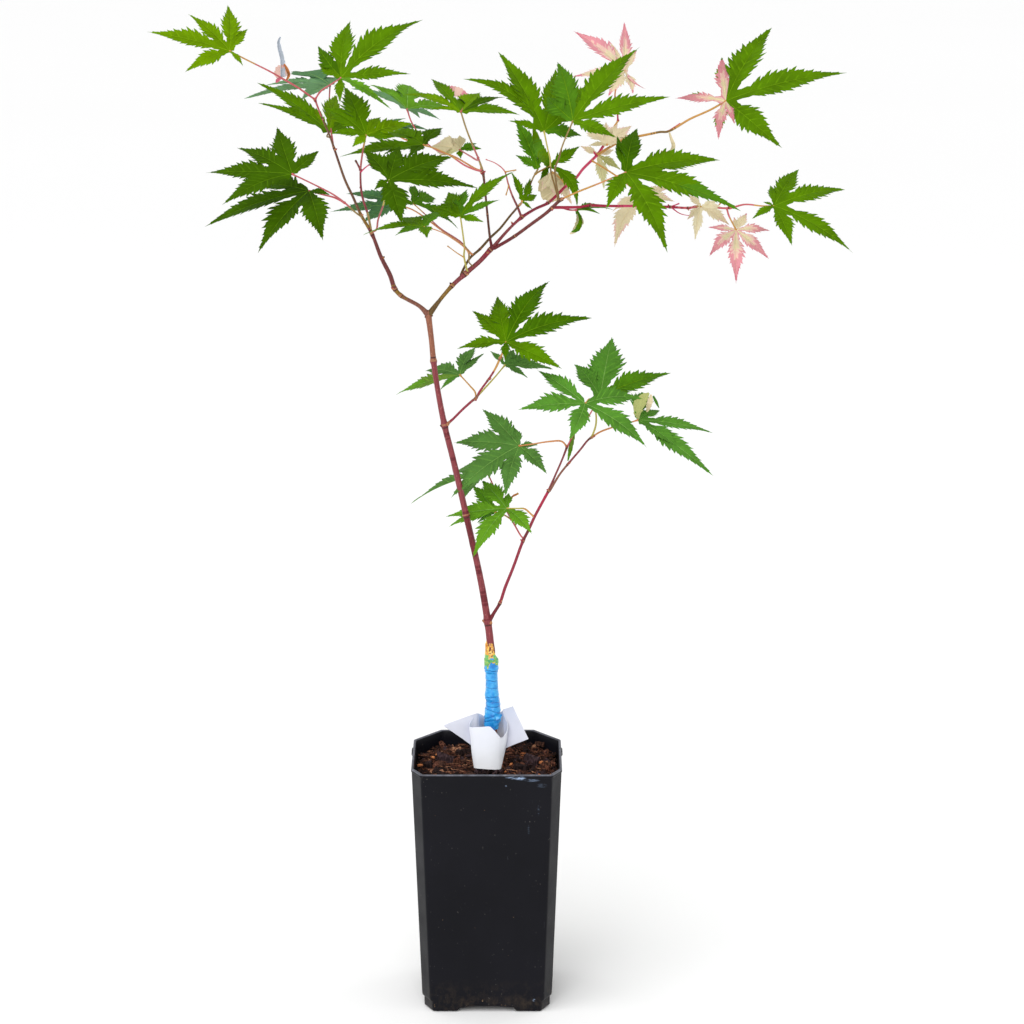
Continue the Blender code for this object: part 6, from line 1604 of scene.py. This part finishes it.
# ------------------------------------------------------------------ the pot
def make_pot():
    n = Nodes("pot_plastic")
    soft = n.noise(n.mapped(), 18, 3.0)
    colour = n.ramp(soft, [(0.30, lin((13, 13, 18))), (0.70, lin((19, 19, 25)))])
    xyz = n.node("ShaderNodeSeparateXYZ")
    n.link(n.coord, xyz.inputs["Vector"])
    # dust and splashes of dry mix, thick at the foot and sparse above
    specks = n.cells(n.mapped((1, 1, 0.7)), 260, "F1")
    low = n.node("ShaderNodeMapRange")
    low.inputs["From Min"].default_value = 0.0
    low.inputs["From Max"].default_value = 0.013
    low.inputs["To Min"].default_value = 0.30
    low.inputs["To Max"].default_value = 0.045
    n.link(xyz.outputs["Z"], low.inputs["Value"])
    spot = n.math("LESS_THAN", specks, low.outputs["Result"])
    thin = n.noise(n.mapped(), 120, 4.0, 0.7)
    spot = n.math("MULTIPLY", spot, n.math("GREATER_THAN", thin, 0.56))
    colour = n.mix(n.math("MULTIPLY", spot, 0.62), colour, lin((150, 122, 92)))
    # sparse grains of dry mix stuck all over
    grains = n.cells(n.mapped((1, 1, 0.7), loc=(0.3, 0.1, 0.7)), 520, "F1")
    few = n.ramp(n.noise(n.mapped(), 75, 4.0, 0.7), [(0.54, (0, 0, 0)), (0.74, (1, 1, 1))])
    grains = n.math("MULTIPLY", n.math("LESS_THAN", grains, 0.15), few)
    colour = n.mix(n.math("MULTIPLY", grains, 0.50), colour, lin((132, 128, 122)))
    dust = n.noise(n.mapped((1, 1, 0.7), loc=(0.7, 0.7, 0.2)), 210, 5.0, 0.75)
    haze = n.node("ShaderNodeMapRange")
    haze.inputs["From Min"].default_value = 0.002
    haze.inputs["From Max"].default_value = 0.022
    haze.inputs["To Min"].default_value = 0.15
    haze.inputs["To Max"].default_value = 0.0
    n.link(xyz.outputs["Z"], haze.inputs["Value"])
    dusty = n.math("MULTIPLY", n.ramp(dust, [(0.46, (0, 0, 0)), (0.66, (1, 1, 1))]), haze.outputs["Result"])
    colour = n.mix(dusty, colour, lin((118, 100, 78)))
    # fine scratches and rubs that run mostly down the walls
    scr = n.noise(n.mapped((1, 1, 0.10), rot=(0.10, 0.06, 0)), 700, 3.0, 0.7)
    scr = n.ramp(scr, [(0.70, (0, 0, 0)), (0.74, (1, 1, 1))])
    area = n.ramp(n.noise(n.mapped(loc=(1.3, 0.2, 0.4)), 24, 2.0), [(0.50, (0, 0, 0)), (0.66, (1, 1, 1))])
    colour = n.mix(n.math("MULTIPLY", n.math("MULTIPLY", scr, area), 0.16), colour, lin((120, 122, 132)))
    # whitish scuffs under the front rim
    for centre, size, level in (((0.0172, -0.0455, 0.1541), (0.0050, 0.004, 0.0010), 0.80), ((0.0203, -0.0455, 0.1538), (0.0034, 0.004, 0.0012), 0.85),
                                ((0.0277, -0.0455, 0.1524), (0.0042, 0.004, 0.0009), 0.36), ((0.0338, -0.0455, 0.1490), (0.0028, 0.004, 0.0012), 0.16),
                                ((0.0317, -0.0450, 0.1330), (0.0006, 0.004, 0.0030), 0.12), ((0.0257, -0.0445, 0.1200), (0.0006, 0.004, 0.0030), 0.10),
                                ((0.0118, -0.0455, 0.1487), (0.0006, 0.004, 0.0005), 0.4), ((0.0292, -0.0410, 0.0074), (0.0009, 0.004, 0.0008), 0.9)):
        offset = n.node("ShaderNodeVectorMath", operation="SUBTRACT")
        offset.inputs[1].default_value = centre
        n.link(n.coord, offset.inputs[0])
        squash = n.node("ShaderNodeVectorMath", operation="DIVIDE")
        squash.inputs[1].default_value = size
        n.link(offset.outputs["Vector"], squash.inputs[0])
        reach = n.node("ShaderNodeVectorMath", operation="LENGTH")
        n.link(squash.outputs["Vector"], reach.inputs[0])
        fade = n.math("MULTIPLY", n.math("SUBTRACT", 1.25, reach.outputs["Value"]), 1.6, clamp=True)
        rag = n.ramp(n.noise(n.mapped((0.30, 1, 1.5), rot=(0, 0.10, 0)), 900, 4.0, 0.75), [(0.44, (0, 0, 0)), (0.60, (1, 1, 1))])
        colour = n.mix(n.math("MULTIPLY", n.math("MULTIPLY", fade, rag), level), colour, lin((158, 180, 212)))
    rough = n.ramp(n.noise(n.mapped(), 60, 3.0), [(0.3, (0.33, 0.33, 0.33)), (0.7, (0.46, 0.46, 0.46))])
    grain = n.noise(n.mapped(), 2600, 2.0)
    waves = n.noise(n.mapped((1, 1, 0.5)), 26, 2.0)
    nor = n.bump(waves, 0.30, 0.0012)
    nor = n.bump(grain, 0.22, 0.00012, nor)
    SKINS["pot_plastic"] = n.done(colour, rough, 0.10, nor)
    # Painted highlight: the lip's top faces take lighter greys (52 to 117) than the pot's body, standing in for the
    # sky's reflection along the rim's top edge.
    n = Nodes("pot_lip_painted_highlight")
    lip_highlight_tone = n.noise(n.mapped((1, 1, 0.6)), 240, 4.0, 0.65)
    colour = n.ramp(lip_highlight_tone, [(0.32, lin((52, 53, 61))), (0.52, lin((78, 79, 89))), (0.72, lin((104, 106, 117)))])
    SKINS["pot_lip_painted_highlight"] = n.done(colour, 0.42, 0.35, n.bump(n.noise(n.mapped(), 1500, 2.0), 0.25, 0.0001))
    n = Nodes("pot_scuff")
    colour = n.ramp(n.noise(n.mapped((1, 1, 0.6)), 700, 4.0, 0.7), [(0.42, lin((60, 64, 74))), (0.60, lin((176, 190, 212)))])
    SKINS["pot_scuff"] = n.done(colour, 0.6, 0.4, n.bump(n.noise(n.mapped(), 1900, 3.0), 0.6, 0.0002))
    bag = Bag("pot_moulding", "pot", ["pot"])
    arc = 4          # points round each corner
    fr = [0.0, 0.10, 0.215, 0.245, 0.36, 0.5, 0.64, 0.755, 0.785, 0.90, 1.0]

    def ring(half, z, corner=2.4, feet=None, k_scale=None, deep=None):
        k = (half / 46.0) if k_scale is None else k_scale
        fx, fy, bx, by = 6.2 * k, 12.0 * k, 16.5 * k, 21.0 * k
        h, g = half, (half if deep is None else deep)
        pts = [(-h + fx, -g), (h - fx, -g), (h, -g + fy), (h, g - by), (h - bx, g), (-h + bx, g), (-h, g - by), (-h, -g + fy)]
        pts = [np.array(p) for p in pts]
        starts, ends, arcs = [], [], []
        for i in range(8):
            a, b, c = pts[i - 1], pts[i], pts[(i + 1) % 8]
            u1, u2 = unit(a - b), unit(c - b)
            ang = math.acos(max(-1, min(1, float(u1 @ u2))))
            t = min(corner / math.tan(ang / 2), 0.42 * np.linalg.norm(a - b), 0.42 * np.linalg.norm(c - b))
            rr = t * math.tan(ang / 2)
            p1, p2 = b + u1 * t, b + u2 * t
            centre = b + unit(u1 + u2) * (rr / math.sin(ang / 2))
            a1 = math.atan2(*(p1 - centre)[::-1])
            a2 = math.atan2(*(p2 - centre)[::-1])
            d = (a2 - a1 + math.pi) % (2 * math.pi) - math.pi
            arcs.append([centre + rr * np.array([math.cos(a1 + d * q / arc), math.sin(a1 + d * q / arc)]) for q in range(arc + 1)])
        out = []
        for i in range(8):
            for p in arcs[i]:
                out.append((p[0], p[1], z))
            p, q = arcs[i][-1], arcs[(i + 1) % 8][0]
            long = i in (0, 2, 4, 6)
            for f in fr[1:-1]:
                m = p + (q - p) * f
                zz = z
                if feet is not None and long:
                    # the arch between the corner feet
                    mid = (p + q) / 2
                    off = abs(np.linalg.norm(m - mid))
                    lift = np.clip((17.0 + 1.2 - off) / 2.4, 0, 1) if i != 99 else 0
                    zz = z + feet * float(lift)
                out.append((m[0], m[1], zz))
        return out

    def half_at(z):
        return 40.4 + 5.6 * (z - 7.0) / 149.0
    rings = []
    # outside, from the foot up
    rings.append(("foot", ring(38.9, 0.0, feet=3.2, corner=1.6, k_scale=0.93, deep=39.4)))
    rings.append(("foot", ring(39.05, 0.5, feet=2.75, corner=1.8, k_scale=0.90, deep=39.75)))
    rings.append(("foot", ring(39.1, 4.0, corner=2.0, k_scale=0.88, deep=39.95)))
    rings.append(("foot", ring(39.15, 6.2, corner=2.0, k_scale=0.88, deep=40.15)))
    rings.append(("step", ring(39.7, 6.7, corner=2.2, deep=40.25)))
    rings.append(("step", ring(40.2, 7.2, corner=2.4, deep=40.35)))
    rings.append(("step", ring(40.45, 8.6, corner=2.4)))
    for z in (12, 20, 32, 46, 60, 75, 90, 105, 120, 134, 143, 149, 153.6):
        rings.append(("body", ring(half_at(z), z, corner=2.0)))
    rings.append(("lip", ring(half_at(153.8) + 0.16, 153.8, corner=2.2)))
    rings.append(("lip", ring(half_at(154.0) + 0.30, 154.1, corner=2.2)))
    rings.append(("lip", ring(46.25, 155.2, corner=2.2)))
    rings.append(("lip", ring(46.15, 155.6, corner=2.2)))
    rings.append(("lip", ring(45.95, 155.9, corner=2.1)))
    rings.append(("lip", ring(45.5, 156.05, corner=2.0)))
    rings.append(("lip", ring(45.0, 155.9, corner=1.9)))
    rings.append(("lip", ring(44.7, 155.4, corner=1.8)))
    for z in (150, 140, 110, 70, 30, 12, 5.2):
        rings.append(("inside", ring(half_at(z) - 1.3, z, corner=2.0)))
    flat = []
    for kind, pts in rings:
        flat.append(bag.points(pts))
    m = len(flat[0])
    for i in range(len(rings) - 1):
        for k in range(m):
            k2 = (k + 1) % m
            # the rings on the lip's top take the lighter painted-highlight material
            lip_highlight = rings[i][0] == "lip" and rings[i + 1][0] == "lip" and rings[i][1][0][2] > 155.1
            bag.face((flat[i][k], flat[i][k2], flat[i + 1][k2], flat[i + 1][k]), "pot_lip_painted_highlight" if lip_highlight else "pot_plastic")
    mid = bag.points([(0, 0, 5.2)])[0]
    for k in range(m):
        bag.face((flat[-1][k], flat[-1][(k + 1) % m], mid), "pot_plastic")
    # underside: the feet's inner wall and the base
    under = [ring(36.9, 0.0, feet=3.2, corner=1.2, k_scale=0.85), ring(36.8, 3.2, corner=1.2, k_scale=0.85)]
    u = [bag.points(p) for p in under]
    for k in range(m):
        k2 = (k + 1) % m
        bag.face((flat[0][k2], flat[0][k], u[0][k], u[0][k2]), "pot_plastic")
        bag.face((u[0][k2], u[0][k], u[1][k], u[1][k2]), "pot_plastic")
    plate = [ring(26.4, 3.2, corner=4.0, k_scale=0.6), ring(26.0, 0.3, corner=4.0, k_scale=0.6), ring(25.7, 0.0, corner=4.0, k_scale=0.6)]
    p_idx = [bag.points(p) for p in plate]
    seq = [u[1]] + p_idx
    for a, b in zip(seq, seq[1:]):
        for k in range(m):
            k2 = (k + 1) % m
            bag.face((a[k2], a[k], b[k], b[k2]), "pot_plastic")
    c = bag.points([(0, 0, 0.0)])[0]
    for k in range(m):
        bag.face((p_idx[-1][(k + 1) % m], p_idx[-1][k], c), "pot_plastic")
    # small nubs on the rim's two sides
    for sx in (1, -1):
        for yy in (8.0, -40.0 + 0 * sx):
            if yy < 0:
                continue
            pts = [(sx * (46.1 + dx), yy + dy, z) for dx, dy, z in ((0, -3.2, 151.0), (0, 3.2, 151.0), (0, 3.2, 155.4), (0, -3.2, 155.4),
                                                                  (1.0, -2.4, 152.0), (1.0, 2.4, 152.0), (0.9, 2.4, 154.8), (0.9, -2.4, 154.8))]
            ids = bag.points(pts)
            for q in ((0, 1, 5, 4), (1, 2, 6, 5), (2, 3, 7, 6), (3, 0, 4, 7), (4, 5, 6, 7), (0, 3, 2, 1)):
                f = [ids[t] for t in q]
                bag.face(f if sx > 0 else f[::-1], "pot_plastic")
    bag.build(42)


# ------------------------------------------------------------------ floor, light, camera
def set_stage():
    n = Nodes("floor_paper")
    colour = n.ramp(n.noise(n.mapped(), 1.0, 1.0), [(0.3, (0.938, 0.938, 0.938)), (0.7, (0.944, 0.944, 0.944))])
    floor_mat = n.done(colour, 0.9, 0.1)
    me = bpy.data.meshes.new("floor")
    s = 20.0
    me.from_pydata([(-s, -s, 0), (s, -s, 0), (s, s, 0), (-s, s, 0)], [], [(0, 1, 2, 3)])
    me.materials.append(floor_mat)
    floor = bpy.data.objects.new("floor", me)
    floor.location = (0, 0, -0.0006)
    bpy.context.scene.collection.objects.link(floor)
    world = bpy.data.worlds.new("studio")
    bpy.context.scene.world = world
    world.use_nodes = True
    bg = world.node_tree.nodes["Background"]
    bg.inputs["Color"].default_value = (1.0, 1.0, 1.0, 1)
    bg.inputs["Strength"].default_value = 0.74
    sun = bpy.data.lights.new("broad_key", "SUN")
    sun.energy = 1.25
    sun.angle = math.radians(55)
    ob = bpy.data.objects.new("broad_key", sun)
    ob.rotation_euler = Vector((0.42, 0.62, -1.0)).to_track_quat("-Z", "Y").to_euler()
    bpy.context.scene.collection.objects.link(ob)

    def lamp(name, place, aim, size, power, colour=(1, 1, 1)):
        light = bpy.data.lights.new(name, "AREA")
        light.shape = "RECTANGLE"
        light.size, light.size_y = size
        light.energy = power
        light.color = colour
        ob = bpy.data.objects.new(name, light)
        ob.location = place
        d = Vector(aim) - Vector(place)
        ob.rotation_euler = d.to_track_quat("-Z", "Y").to_euler()
        bpy.context.scene.collection.objects.link(ob)
    lamp("front_soft", (-0.3, -2.3, 1.25), (0, 0, 0.3), (1.6, 1.1), 18)
    lamp("strip_left", (-1.25, 0.85, 0.30), (0, 0, 0.15), (0.35, 0.9), 3.2)
    lamp("strip_right", (1.25, 0.85, 0.30), (0, 0, 0.15), (0.35, 0.9), 3.2)
    cam = bpy.data.cameras.new("camera")
    cam.sensor_width = 36.0
    cam.lens = FOCAL * 36.0 / 1024.0
    cam.clip_start, cam.clip_end = 0.1, 100.0
    ob = bpy.data.objects.new("camera", cam)
    ob.location = Vector(EYE * MM)
    ob.rotation_euler = (math.pi / 2 - PITCH, 0, 0)
    bpy.context.scene.collection.objects.link(ob)
    bpy.context.scene.camera = ob
    bpy.context.scene.view_settings.view_transform = "Standard"


make_skins()
grow_limbs()
for bag in grow_leaves().values():
    bag.build(60)
grow_curls()
wrap_graft()
fill_pot()
hang_label()
make_pot()
set_stage()
